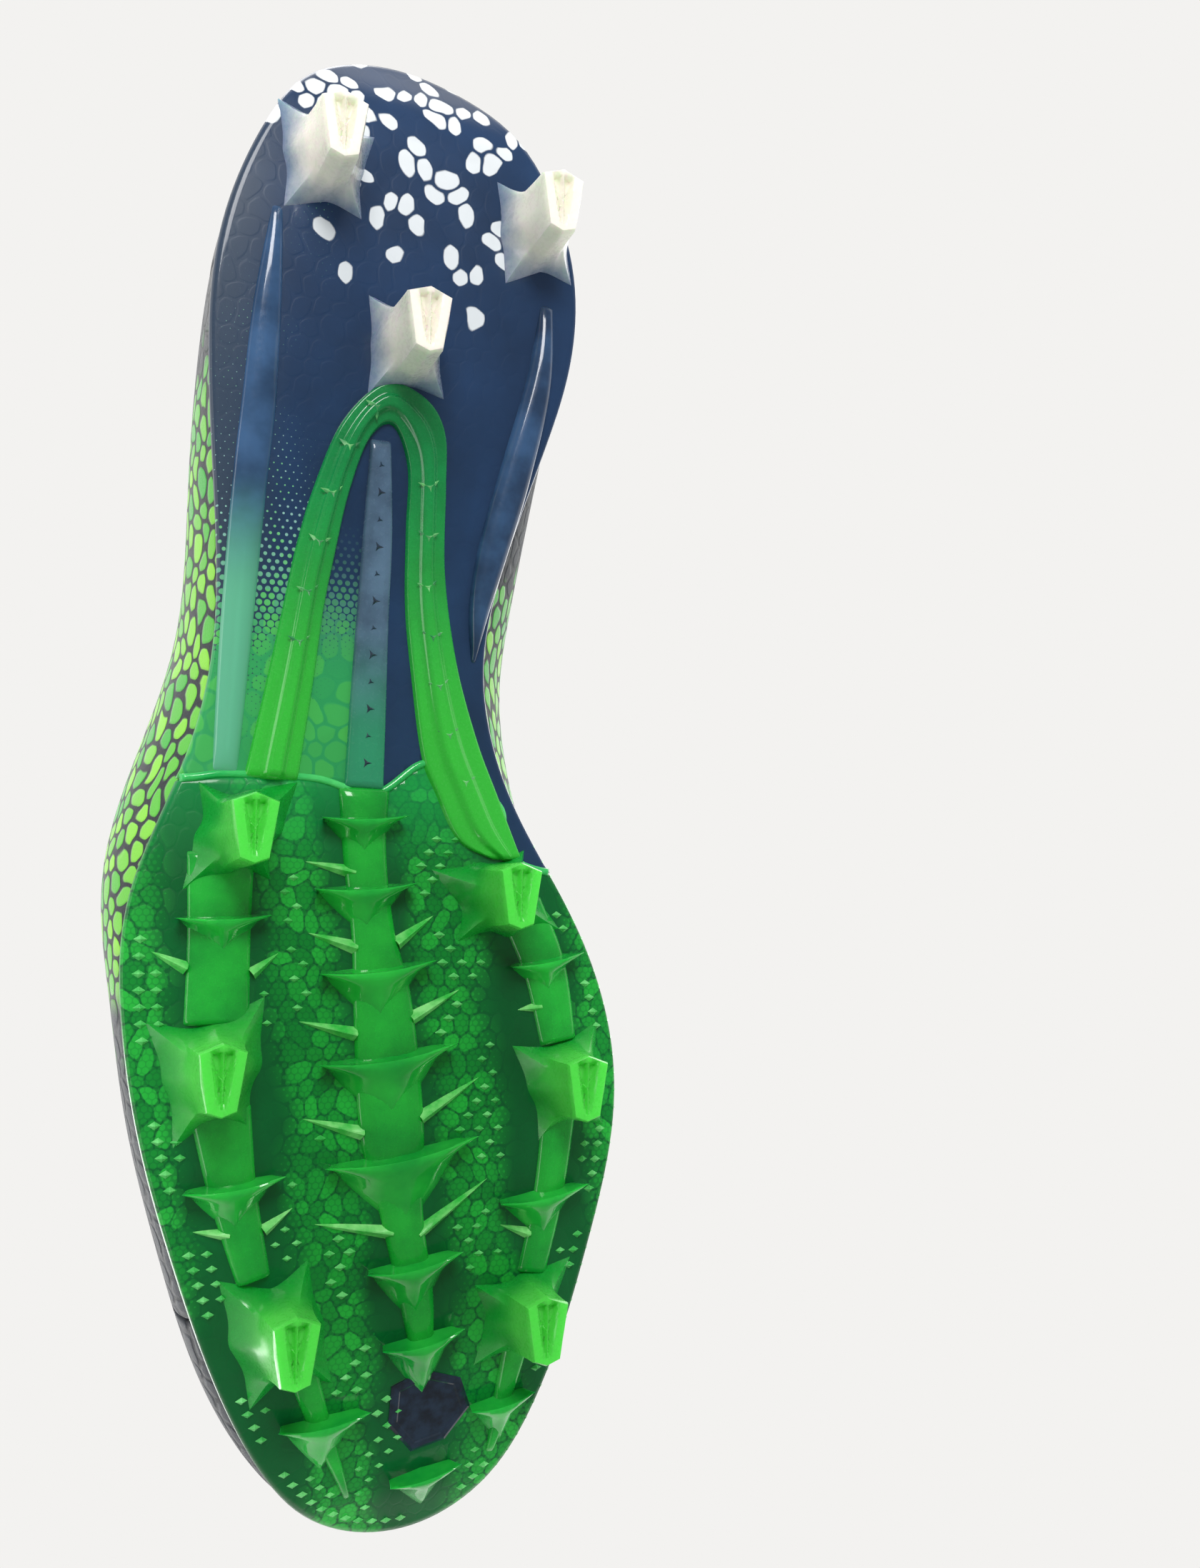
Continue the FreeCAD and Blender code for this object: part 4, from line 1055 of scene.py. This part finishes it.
def insole():
    """Loose insole with a soft cup around the heel."""
    inset = UPPER_INSET + SKIN + MIDDLE + LINING + 0.7 + 0.4
    base = PLATE + FILM + 1.6 + 0.3
    u = np.arange(0, N, 0.1)
    middle = stack(MIDDLE_X, np.clip(edge_y(u), -108, 108), 0)
    start = edge(u, np.full(len(u), inset))
    rows = []
    for share, low in ((0.0, 0.5), (0.0, 1.8), (0.012, 3.1), (0.035, 3.55)):
        p = start * (1 - share) + middle * share
        p[:, 2] = height(p[:, 1]) + base + low
        rows.append(p)
    for share in np.linspace(0.07, 1, 24):
        p = start * (1 - share) + middle * share
        p[:, 2] = height(p[:, 1]) + base + 3.6 - 0.5 * math.sin(math.pi / 2 * min(share * 2, 1))
        rows.append(p)
    top = np.stack(rows, axis=1)
    under = top.copy()
    under[..., 2] = height(under[..., 1]) + base
    around, columns = top.shape[:2]
    count = around * columns
    faces = grid_faces(around, columns, wrap_rows=True)
    faces += [tuple(i + count for i in f[::-1]) for f in faces]
    for i in range(around):
        a, b = i * columns, ((i + 1) % around) * columns
        faces.append((a, b, b + count, a + count))
    verts = np.concatenate([top.reshape(-1, 3), under.reshape(-1, 3)])
    obj = new_object("insole", verts, faces, body="sockliner", pattern=verts[:, :2])
    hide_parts("sockliner")
    return obj


insole_obj = insole()

# ---------------------------------------------------------------- materials


def rgb(code):
    """Linear colour of a hex code."""
    values = [int(code[k:k + 2], 16) / 255 for k in (1, 3, 5)]
    return [v / 12.92 if v <= 0.04045 else ((v + 0.055) / 1.055) ** 2.4 for v in values] + [1.0]


HEX_HEIGHT = 0.8660254      # half the square root of three


class Shader:
    """Builder for one procedural material."""

    def __init__(self, name):
        self.material = bpy.data.materials.new(name)
        self.material.use_nodes = True
        self.nodes = self.material.node_tree.nodes
        self.links = self.material.node_tree.links
        self.nodes.clear()
        self.output = self.nodes.new("ShaderNodeOutputMaterial")
        self.shader = self.nodes.new("ShaderNodeBsdfPrincipled")
        self.links.new(self.shader.outputs[0], self.output.inputs["Surface"])
        place = self.nodes.new("ShaderNodeTexCoord")
        scale = self.vector("SCALE", place.outputs["Object"], scale=1000.0)
        self.place = self.vector("SUBTRACT", scale, (SHIFT[0], SHIFT[1], 0.0))

    def put(self, socket, value):
        if isinstance(value, bpy.types.NodeSocket):
            self.links.new(value, socket)
        elif value is not None:
            socket.default_value = value

    def vector(self, operation, a, b=None, c=None, scale=None):
        node = self.nodes.new("ShaderNodeVectorMath")
        node.operation = operation
        for socket, value in zip(node.inputs, (a, b, c)):
            self.put(socket, value)
        if scale is not None:
            self.put(node.inputs["Scale"], scale)
        return node.outputs["Value" if operation in ("LENGTH", "DISTANCE", "DOT_PRODUCT") else "Vector"]

    def math(self, operation, a, b=None, clamp=False):
        node = self.nodes.new("ShaderNodeMath")
        node.operation = operation
        node.use_clamp = clamp
        for socket, value in zip(node.inputs, (a, b)):
            self.put(socket, value)
        return node.outputs[0]

    def times(self, a, b):
        return self.math("MULTIPLY", a, b)

    def plus(self, a, b, clamp=False):
        return self.math("ADD", a, b, clamp)

    def minus(self, a, b):
        return self.math("SUBTRACT", a, b)

    def split(self, vector):
        node = self.nodes.new("ShaderNodeSeparateXYZ")
        self.put(node.inputs[0], vector)
        return node.outputs

    def mix(self, share, a, b):
        node = self.nodes.new("ShaderNodeMix")
        node.data_type = "RGBA"
        self.put(node.inputs[0], share)
        self.put(node.inputs[6], a)
        self.put(node.inputs[7], b)
        return node.outputs[2]

    def span(self, value, low, high, a=0.0, b=1.0):
        """Value mapped from low..high to a..b, held at both ends, with soft ends."""
        node = self.nodes.new("ShaderNodeMapRange")
        node.interpolation_type = "SMOOTHSTEP"
        for socket, item in zip(node.inputs, (value, low, high, a, b)):
            self.put(socket, item)
        return node.outputs[0]

    def noise(self, vector, scale, detail=3.0, rough=0.55):
        node = self.nodes.new("ShaderNodeTexNoise")
        self.put(node.inputs["Vector"], vector)
        self.put(node.inputs["Scale"], scale)
        self.put(node.inputs["Detail"], detail)
        self.put(node.inputs["Roughness"], rough)
        return node.outputs["Fac"]

    def random(self, vector):
        node = self.nodes.new("ShaderNodeTexWhiteNoise")
        node.noise_dimensions = "2D"
        self.put(node.inputs["Vector"], vector)
        return node.outputs["Value"]

    def pattern(self):
        """The printed pattern's own place, in millimetres."""
        node = self.nodes.new("ShaderNodeUVMap")
        node.uv_map = "pattern"
        return node.outputs[0]

    def cells(self, place, size, stretch=(1.0, 1.0), drift=0.0):
        """Six-sided cells: distance from the middle (0.5 on the border) and the cell's own place."""
        if drift:
            node = self.nodes.new("ShaderNodeTexNoise")
            self.put(node.inputs["Vector"], place)
            node.inputs["Scale"].default_value = 0.11
            node.inputs["Detail"].default_value = 1.0
            around_zero = self.vector("SUBTRACT", node.outputs["Color"], (0.5, 0.5, 0.5))
            place = self.vector("ADD", place, self.vector("SCALE", around_zero, scale=drift))
        p = self.vector("MULTIPLY", place, (1 / (size * stretch[0]), 1 / (size * stretch[1]), 0.0))
        half = (0.5, HEX_HEIGHT, 0.5)
        low = (-0.5, -HEX_HEIGHT, -0.5)
        a = self.vector("WRAP", p, half, low)
        b = self.vector("WRAP", self.vector("SUBTRACT", p, (0.5, HEX_HEIGHT, 0.0)), half, low)
        nearer = self.math("LESS_THAN", self.vector("LENGTH", a), self.vector("LENGTH", b))
        node = self.nodes.new("ShaderNodeMix")
        node.data_type = "VECTOR"
        self.put(node.inputs[0], nearer)
        self.put(node.inputs[4], b)
        self.put(node.inputs[5], a)
        g = node.outputs[1]
        x, y, _ = self.split(self.vector("ABSOLUTE", g))
        slope = self.plus(self.times(x, 0.5), self.times(y, HEX_HEIGHT))
        cell = self.vector("SNAP", self.vector("ADD", self.vector("SUBTRACT", p, g), (0.05, 0.05, 0.0)),
                           (0.1, 0.1, 0.1))
        length = self.vector("LENGTH", g)
        border = self.math("MAXIMUM", x, slope)
        border = self.plus(self.times(border, 0.45), self.times(length, 0.55))
        return border, cell, length

    def bump(self, height_, strength, distance, chain=None):
        node = self.nodes.new("ShaderNodeBump")
        self.put(node.inputs["Strength"], strength)
        self.put(node.inputs["Distance"], distance)
        self.put(node.inputs["Height"], height_)
        if chain is not None:
            self.put(node.inputs["Normal"], chain)
        return node.outputs[0]

    def finish(self, colour, roughness, normal=None, **constants):
        self.put(self.shader.inputs["Base Color"], colour)
        self.put(self.shader.inputs["Roughness"], roughness)
        if normal is not None:
            self.put(self.shader.inputs["Normal"], normal)
        for name, value in constants.items():
            label = name.replace("_", " ")
            self.shader.inputs[label].default_value = value
        return self.material


CLEAR = {"Coat_Weight": 0.6, "Coat_Roughness": 0.07, "Coat_IOR": 1.45, "Specular_IOR_Level": 0.2}


def front_plate_look():
    s = Shader("printed_green_plate")
    x, y, _ = s.split(s.place)
    line = s.plus(x, s.times(s.plus(y, 40.0), -0.135))
    wave = s.times(s.noise(s.place, 0.045, 1.0), 14.0)
    away = s.math("ABSOLUTE", s.minus(s.plus(line, wave), 9.0))
    band = s.span(s.math("PINGPONG", away, 15.0), 5.0, 13.0)
    border, cell, _ = s.cells(s.place, 3.4, (1.0, 1.15), 7.0)
    tone = s.random(cell)
    gap = s.span(border, 0.40, 0.48, 1.0, 0.0)
    bright = s.times(s.times(gap, band), s.span(tone, 0.05, 0.9, 0.55, 1.0))
    _, _, dot_middle = s.cells(s.place, 1.25)
    dot_size = s.times(s.span(band, 0.0, 0.75), 0.42)
    dot = s.span(s.minus(dot_size, dot_middle), -0.05, 0.05)
    share = s.plus(s.times(bright, 0.75), s.times(dot, 0.30), clamp=True)
    deep = s.mix(s.noise(s.place, 0.06), rgb("#004a22"), rgb("#00662f"))
    green = s.mix(tone, rgb("#0c8a30"), rgb("#23b03c"))
    colour = s.mix(share, deep, green)
    rear = s.span(y, -22.0, 4.0)
    colour = s.mix(s.times(rear, 0.55), colour, rgb("#19a558"))
    normal = s.bump(gap, 0.12, 0.0003)
    return s.finish(colour, s.span(tone, 0.0, 1.0, 0.28, 0.42), normal, **CLEAR)


def rear_plate_look():
    s = Shader("printed_navy_plate")
    x, y, _ = s.split(s.place)
    border, cell, _ = s.cells(s.place, 4.0, (1.0, 1.15), 6.0)
    tone = s.random(cell)
    gap = s.span(border, 0.39, 0.47, 1.0, 0.0)
    navy = s.mix(s.noise(s.place, 0.05), rgb("#14263d"), rgb("#24426a"))
    # Painted highlight: the navy turns a paler grey-blue over the outer side, from x 20 to 34 mm, where the
    # outer ridge runs.
    navy = s.mix(s.times(s.span(x, 20.0, 34.0), 0.7), navy, rgb("#3a4654"))
    # Pale scales scattered over the heel, fading out towards the middle of the foot.
    cell_x, cell_y, _ = s.split(s.vector("MULTIPLY", cell, (4.0, 4.6, 1.0)))
    fade = s.times(s.span(cell_y, 84.0, 128.0), s.span(s.math("ABSOLUTE", cell_x), 31.0, 16.0))
    lit = s.math("GREATER_THAN", s.times(fade, 0.62), tone)
    pale = s.times(s.times(lit, gap), 0.92)
    _, _, dot_middle = s.cells(s.place, 1.5)
    cloud = s.minus(s.noise(s.place, 0.05), 0.5)
    cover = s.plus(s.span(y, 66.0, 8.0), s.times(cloud, 0.6))
    dot = s.span(s.minus(s.times(cover, 0.62), dot_middle), -0.04, 0.04)
    aqua = s.mix(s.span(y, 55.0, 20.0), rgb("#9dc9c6"), rgb("#2fa35c"))
    aqua = s.mix(s.times(s.times(gap, tone), 0.6), aqua, rgb("#5fd24a"))
    near_seam = s.times(s.span(x, 2.0, 8.0), s.span(y, 50.0, 16.0))
    side = s.math("MAXIMUM", s.span(x, 13.0, 19.0), near_seam)
    colour = s.mix(s.times(dot, s.times(side, 0.85)), navy, aqua)
    colour = s.mix(pale, colour, rgb("#e8edf0"))
    return s.finish(colour, 0.34, s.bump(gap, 0.08, 0.0003), **CLEAR)


def gloss_look(name, dark, light, scale=0.08, rough=0.25, through=0.0, ends=None, coat=1.0):
    """Glossy moulded plastic whose tone drifts, optionally from one colour to another along the shoe."""
    s = Shader(name)
    tone = s.noise(s.place, scale, 4.0)
    colour = s.mix(s.span(tone, 0.3, 0.7), rgb(dark), rgb(light))
    if ends:
        _, y, _ = s.split(s.place)
        colour = s.mix(s.span(y, *ends[:2]), colour, rgb(ends[2]))
    fine = s.noise(s.place, 1.4, 2.0)
    constants = {"Coat_Weight": coat * 0.8, "Coat_Roughness": 0.06, "Coat_IOR": 1.5, "Specular_IOR_Level": 0.25}
    if through:
        constants.update({"Subsurface_Weight": through, "Subsurface_Radius": (0.3, 0.6, 0.3),
                          "Subsurface_Scale": 0.004})
    roughness = s.span(fine, 0.3, 0.7, rough - 0.05, rough + 0.07)
    return s.finish(colour, roughness, s.bump(fine, 0.03, 0.0002), **constants)


def stud_look(name, root, tip, levels, through):
    """Milky or tinted translucent stud, paler towards its end."""
    s = Shader(name)
    _, _, z = s.split(s.place)
    tone = s.noise(s.place, 0.25, 3.0)
    level = s.plus(z, s.times(s.minus(tone, 0.5), 4.0))
    colour = s.mix(s.span(level, *levels), rgb(tip), rgb(root))
    fine = s.noise(s.place, 1.1, 3.0)
    roughness = s.span(fine, 0.3, 0.7, 0.22, 0.36)
    return s.finish(colour, roughness, s.bump(fine, 0.06, 0.0002), Subsurface_Weight=through,
                    Subsurface_Radius=(0.5, 1.0, 0.5), Subsurface_Scale=0.004, Coat_Weight=0.4,
                    Coat_Roughness=0.12, Specular_IOR_Level=0.3, IOR=1.5)


def skin_look(name):
    """Textured skin of the upper: bright oval scales low on the sides, charcoal elsewhere."""
    s = Shader(name)
    printed = s.pattern()
    x, y, _ = s.split(s.place)
    _, up, _ = s.split(printed)
    border, cell, _ = s.cells(printed, 4.3, (1.15, 0.95), 7.0)
    tone = s.random(cell)
    drift = s.times(s.minus(s.noise(printed, 0.05), 0.5), 26.0)
    # Bright where low on the wall between the heel and the ball of the foot, on both sides.
    outer_side = s.math("GREATER_THAN", x, -2.0)
    reach_up = s.minus(s.plus(drift, 30.0), up)
    mid = s.times(s.span(y, 92.0, 48.0), s.span(y, -60.0, -20.0))
    mid_in = s.times(s.span(y, 52.0, 26.0), s.span(y, -26.0, 2.0))
    where = s.plus(s.times(mid, outer_side), s.times(mid_in, s.minus(1.0, outer_side)))
    bright = s.times(where, s.span(reach_up, -10.0, 12.0))
    bright = s.times(bright, s.math("GREATER_THAN", up, 0.2))
    lit = s.times(s.span(s.minus(bright, s.times(tone, 0.55)), 0.0, 0.25),
                 s.span(border, 0.37, 0.43, 1.0, 0.0))
    base = s.mix(s.noise(printed, 0.12), rgb("#14171d"), rgb("#2a2f39"))
    base = s.mix(s.times(s.span(border, 0.36, 0.46, 1.0, 0.0), 0.35), base, rgb("#3a4150"))
    lime = s.mix(tone, rgb("#35b03c"), rgb("#8edc3c"))
    colour = s.mix(lit, base, lime)
    raised = s.span(border, 0.30, 0.47, 1.0, 0.0)
    fine = s.noise(printed, 2.6, 3.0)
    normal = s.bump(raised, 0.45, 0.0005)
    normal = s.bump(fine, 0.25, 0.0003, normal)
    rough = s.minus(s.span(fine, 0.3, 0.7, 0.62, 0.78), s.times(lit, 0.25))
    return s.finish(colour, rough, normal, Sheen_Weight=0.25, Sheen_Roughness=0.5)


def knit_look(name, dark, light, pitch=0.9, uv=True, accent=None):
    """Fine knitted or brushed cloth."""
    s = Shader(name)
    place = s.pattern() if uv else s.place
    _, _, from_middle = s.cells(place, pitch, (1.0, 0.7))
    loops = s.span(from_middle, 0.1, 0.5, 1.0, 0.0)
    cloud = s.noise(place, 0.09, 3.0)
    fuzz = s.noise(place, 3.2, 2.0)
    colour = s.mix(s.times(s.plus(loops, fuzz), 0.5), rgb(dark), rgb(light))
    colour = s.mix(s.span(cloud, 0.3, 0.8, 0.0, 0.35), colour, rgb(dark))
    if accent:
        big, _, _ = s.cells(place, 6.0)
        ring = s.times(s.span(big, 0.40, 0.44), s.span(big, 0.49, 0.46))
        colour = s.mix(s.times(ring, 0.8), colour, rgb(accent))
    normal = s.bump(loops, 0.55, 0.0003)
    normal = s.bump(fuzz, 0.2, 0.0002, normal)
    return s.finish(colour, s.span(fuzz, 0.3, 0.7, 0.82, 0.95), normal, Sheen_Weight=0.35, Sheen_Roughness=0.45)


def stitch_look():
    s = Shader("thread")
    fine = s.noise(s.place, 3.0, 2.0)
    colour = s.mix(fine, rgb("#2b3442"), rgb("#566274"))
    return s.finish(colour, s.span(fine, 0.3, 0.7, 0.6, 0.8), s.bump(fine, 0.3, 0.0002), Sheen_Weight=0.2)


looks = {
    "front": front_plate_look(),
    "rear": rear_plate_look(),
    "rib": gloss_look("bright_green_rib", "#0d8f30", "#22b23a", rough=0.22),
    "fork": gloss_look("emerald_fork", "#0a7a3c", "#12914a", rough=0.24, ends=(62.0, 6.0, "#36b83a")),
    "fin": gloss_look("glassy_fin", "#0f9a38", "#2cc045", rough=0.14, through=0.2),
    "spine": gloss_look("slate_ridge", "#34465c", "#5b7590", rough=0.22, ends=(30.0, 2.0, "#2f8f6a")),
    # The outer ridge's paler slate blue is a painted highlight along the ridge; its green towards the front is
    # print.
    "ridge_out": gloss_look("outer_ridge_painted_highlight", "#26405f", "#3d5f88", rough=0.2, ends=(56.0, 30.0, "#5fae8e")),
    "ridge_in": gloss_look("navy_ridge", "#1f3450", "#38587f", rough=0.2),
    "lip": gloss_look("clear_lip", "#1fae57", "#5fdc7c", rough=0.14),
    "pip": gloss_look("light_pip", "#3cb552", "#7fe088", rough=0.25, scale=0.3),
    "mark": gloss_look("light_mark", "#0d7d4a", "#8ae08a", rough=0.3, scale=0.3),
    "dark_mark": gloss_look("dark_mark", "#15202e", "#2b3e56", rough=0.3, scale=0.3),
    "barb": gloss_look("pale_sliver", "#37c24a", "#a4f39a", rough=0.2, scale=0.2),
    "badge": gloss_look("navy_pad", "#0d1622", "#1c2c40", rough=0.35, scale=0.4),
    "stud": stud_look("lime_stud", "#129a34", "#5fdc58", (2.0, 13.0), 0.35),
    "heel_stud": stud_look("milky_stud", "#6f86a0", "#f0ece0", (7.0, 15.5), 0.6),
    "skin": skin_look("scaled_skin"),
    "lining": knit_look("lining_knit", "#15171b", "#30353d"),
    "lining_toe": knit_look("toe_lining_cloth", "#15171b", "#30353d", uv=False),
    "tongue": knit_look("tongue_knit", "#101317", "#2b3038", 1.3),
    "binding": knit_look("binding_knit", "#0f1115", "#262b33", 0.8),
    "eyestay": gloss_look("eyestay_film", "#14181f", "#2a303b", rough=0.5, scale=0.5, coat=0.2),
    "ring": gloss_look("eyelet_rim", "#0e1116", "#20252e", rough=0.45, scale=0.5, coat=0.3),
    "insole": knit_look("insole_cloth", "#12161c", "#2a323c", 1.1, accent="#4fbf4a"),
    "thread": stitch_look(),
    "hidden_foam": gloss_look("foam", "#24272d", "#363a42", rough=0.8, scale=0.6, coat=0.0),
    "hidden_board": gloss_look("board", "#8f8a80", "#b5b0a5", rough=0.8, scale=0.5, coat=0.0),
}


def dress(obj, look, slot):
    obj.data.materials.clear()
    obj.data.materials.append(looks[look])


DRESS = [
    (front_plate, "front", "front_plate"), (rear_plate, "rear", "rear_plate"), (rib_centre, "rib", "rib"),
    (ribs_outer, "rib", "rib"), (ribs_inner, "rib", "rib"), (fork, "fork", "fork"),
    (spine, "spine", "rear_plate"),
    (ridge_outer, "ridge_out", "rear_plate"), (ridge_inner, "ridge_in", "rear_plate"), (barbs, "barb", "fin"),
    (pips, "pip", "front_plate"), (teeth, "pip", "front_plate"), (marks, "mark", "fork"),
    (spine_marks, "dark_mark", "rear_plate"), (lip, "lip", "front_plate"), (badge_obj, "badge", "badge"),
    (heel_panel, "skin", "heel_skin"), (quarter_outer, "skin", "skin"), (quarter_inner, "skin", "skin"),
    (vamp, "skin", "skin"), (lining_outer, "lining", "lining"), (lining_inner, "lining", "lining"),
    (eyestay_outer, "eyestay", "eyestay"), (eyestay_inner, "eyestay", "eyestay"), (rings, "ring", "eyestay"),
    (collar, "binding", "lining"), (throat, "binding", "lining"), (thread, "thread", "eyestay"),
    (tongue, "tongue", "tongue"), (tongue_back, "lining", "lining"), (insole_obj, "insole", "sockliner"),
]
for piece in fin_objects.values():
    DRESS.append((piece, "fin", "fin"))
for piece in front_stud_objects:
    DRESS.append((piece, "stud", "stud"))
for piece in heel_stud_objects:
    DRESS.append((piece, "heel_stud", "heel_stud"))
for piece, look, slot in DRESS:
    dress(piece, look, slot)
HIDDEN = {
    "hidden_board": ("printed_film", "lasting_board"),
    "hidden_foam": ("heel_counter", "collar_pad", "foam_outer", "foam_inner", "toe_puff", "foam_vamp"),
    "lining_toe": ("lining_vamp",),
}
for look, nodes in HIDDEN.items():
    for node in nodes:
        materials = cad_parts[node].data.materials
        materials.clear()
        materials.append(looks[look])

# ---------------------------------------------------------------- camera, lights and floor


def look_matrix(centre, direction, up):
    """Placement of something at centre that looks along direction."""
    back = -Vector(direction).normalized()
    right = Vector(up).cross(back).normalized()
    top = back.cross(right)
    return Matrix(((right.x, top.x, back.x, centre[0]), (right.y, top.y, back.y, centre[1]),
                   (right.z, top.z, back.z, centre[2]), (0, 0, 0, 1)))


camera_data = bpy.data.cameras.new("camera")
camera_data.lens = 32
camera_data.sensor_width = 36
camera_data.clip_start = 0.01
camera = link("camera", camera_data)
EYE = (0.0746, -0.02074, -0.23972)      # metres, below the shoe and beside its outer edge
AIM = (-0.4243, 0.0736, 0.9025)
PICTURE_UP = (0.0453, 0.9972, -0.06)
camera.matrix_world = look_matrix(EYE, AIM, PICTURE_UP)
bpy.context.scene.camera = camera


def area_light(name, place, target, width, tall, power, shine=True):
    data = bpy.data.lights.new(name, "AREA")
    data.shape = "RECTANGLE"
    data.size, data.size_y = width, tall
    data.energy = power
    light = link(name, data)
    light.matrix_world = look_matrix(place, Vector(target) - Vector(place), (0.05, 0.9, 0.3))
    light.visible_camera = False
    light.visible_glossy = shine
    return light


area_light("key_under", (0.12, 0.48, -0.50), (0, 0, 0.01), 0.30, 0.30, 3.7)
area_light("fill_under", (-0.45, -0.25, -0.45), (0, 0, 0.01), 0.6, 0.6, 1.7, shine=False)
area_light("side_under", (0.55, -0.10, -0.12), (0.02, 0, 0.02), 0.12, 0.8, 0.7)
area_light("key_over", (0.45, -0.45, 0.75), (0, 0, 0.05), 0.5, 0.5, 3.2)
area_light("fill_over", (-0.55, 0.35, 0.6), (0, 0, 0.05), 0.6, 0.6, 1.4)
area_light("rim_over", (0.1, 0.75, 0.35), (0, 0, 0.05), 0.5, 0.3, 1.2)

world = bpy.data.worlds.new("studio")
world.use_nodes = True
sky = world.node_tree.nodes["Background"]
sky_place = world.node_tree.nodes.new("ShaderNodeTexCoord")
sky_split = world.node_tree.nodes.new("ShaderNodeSeparateXYZ")
sky_ramp = world.node_tree.nodes.new("ShaderNodeValToRGB")
sky_ramp.color_ramp.elements[0].position = 0.35
sky_ramp.color_ramp.elements[0].color = [0.22, 0.22, 0.23, 1.0]
sky_ramp.color_ramp.elements[1].position = 0.52
sky_ramp.color_ramp.elements[1].color = rgb("#f3f2f0")
sky_half = world.node_tree.nodes.new("ShaderNodeMapRange")
sky_half.inputs["From Min"].default_value = -1.0
world.node_tree.links.new(sky_place.outputs["Generated"], sky_split.inputs[0])
world.node_tree.links.new(sky_split.outputs["Z"], sky_half.inputs["Value"])
world.node_tree.links.new(sky_half.outputs[0], sky_ramp.inputs[0])
world.node_tree.links.new(sky_ramp.outputs[0], sky.inputs["Color"])
sky.inputs["Strength"].default_value = 1.0
bpy.context.scene.world = world
bpy.context.scene.view_settings.view_transform = "Standard"

floor_mesh = bpy.data.meshes.new("floor")
floor_bm = bmesh.new()
bmesh.ops.create_grid(floor_bm, x_segments=1, y_segments=1, size=2.0)
floor_bm.to_mesh(floor_mesh)
floor_bm.free()
floor = link("floor", floor_mesh)
floor.location.z = -0.0002
floor_shader = Shader("pale_floor")
grain = floor_shader.noise(floor_shader.place, 0.02)
floor_shader.finish(floor_shader.mix(grain, rgb("#c9c8c5"), rgb("#d3d2cf")), 0.6)
side_node = floor_shader.nodes.new("ShaderNodeNewGeometry")
clear_node = floor_shader.nodes.new("ShaderNodeBsdfTransparent")
blend_node = floor_shader.nodes.new("ShaderNodeMixShader")
floor_shader.links.new(side_node.outputs["Backfacing"], blend_node.inputs[0])
floor_shader.links.new(floor_shader.shader.outputs[0], blend_node.inputs[1])
floor_shader.links.new(clear_node.outputs[0], blend_node.inputs[2])
floor_shader.links.new(blend_node.outputs[0], floor_shader.output.inputs["Surface"])
floor_mesh.materials.append(floor_shader.material)
floor.visible_shadow = False
floor.visible_glossy = False
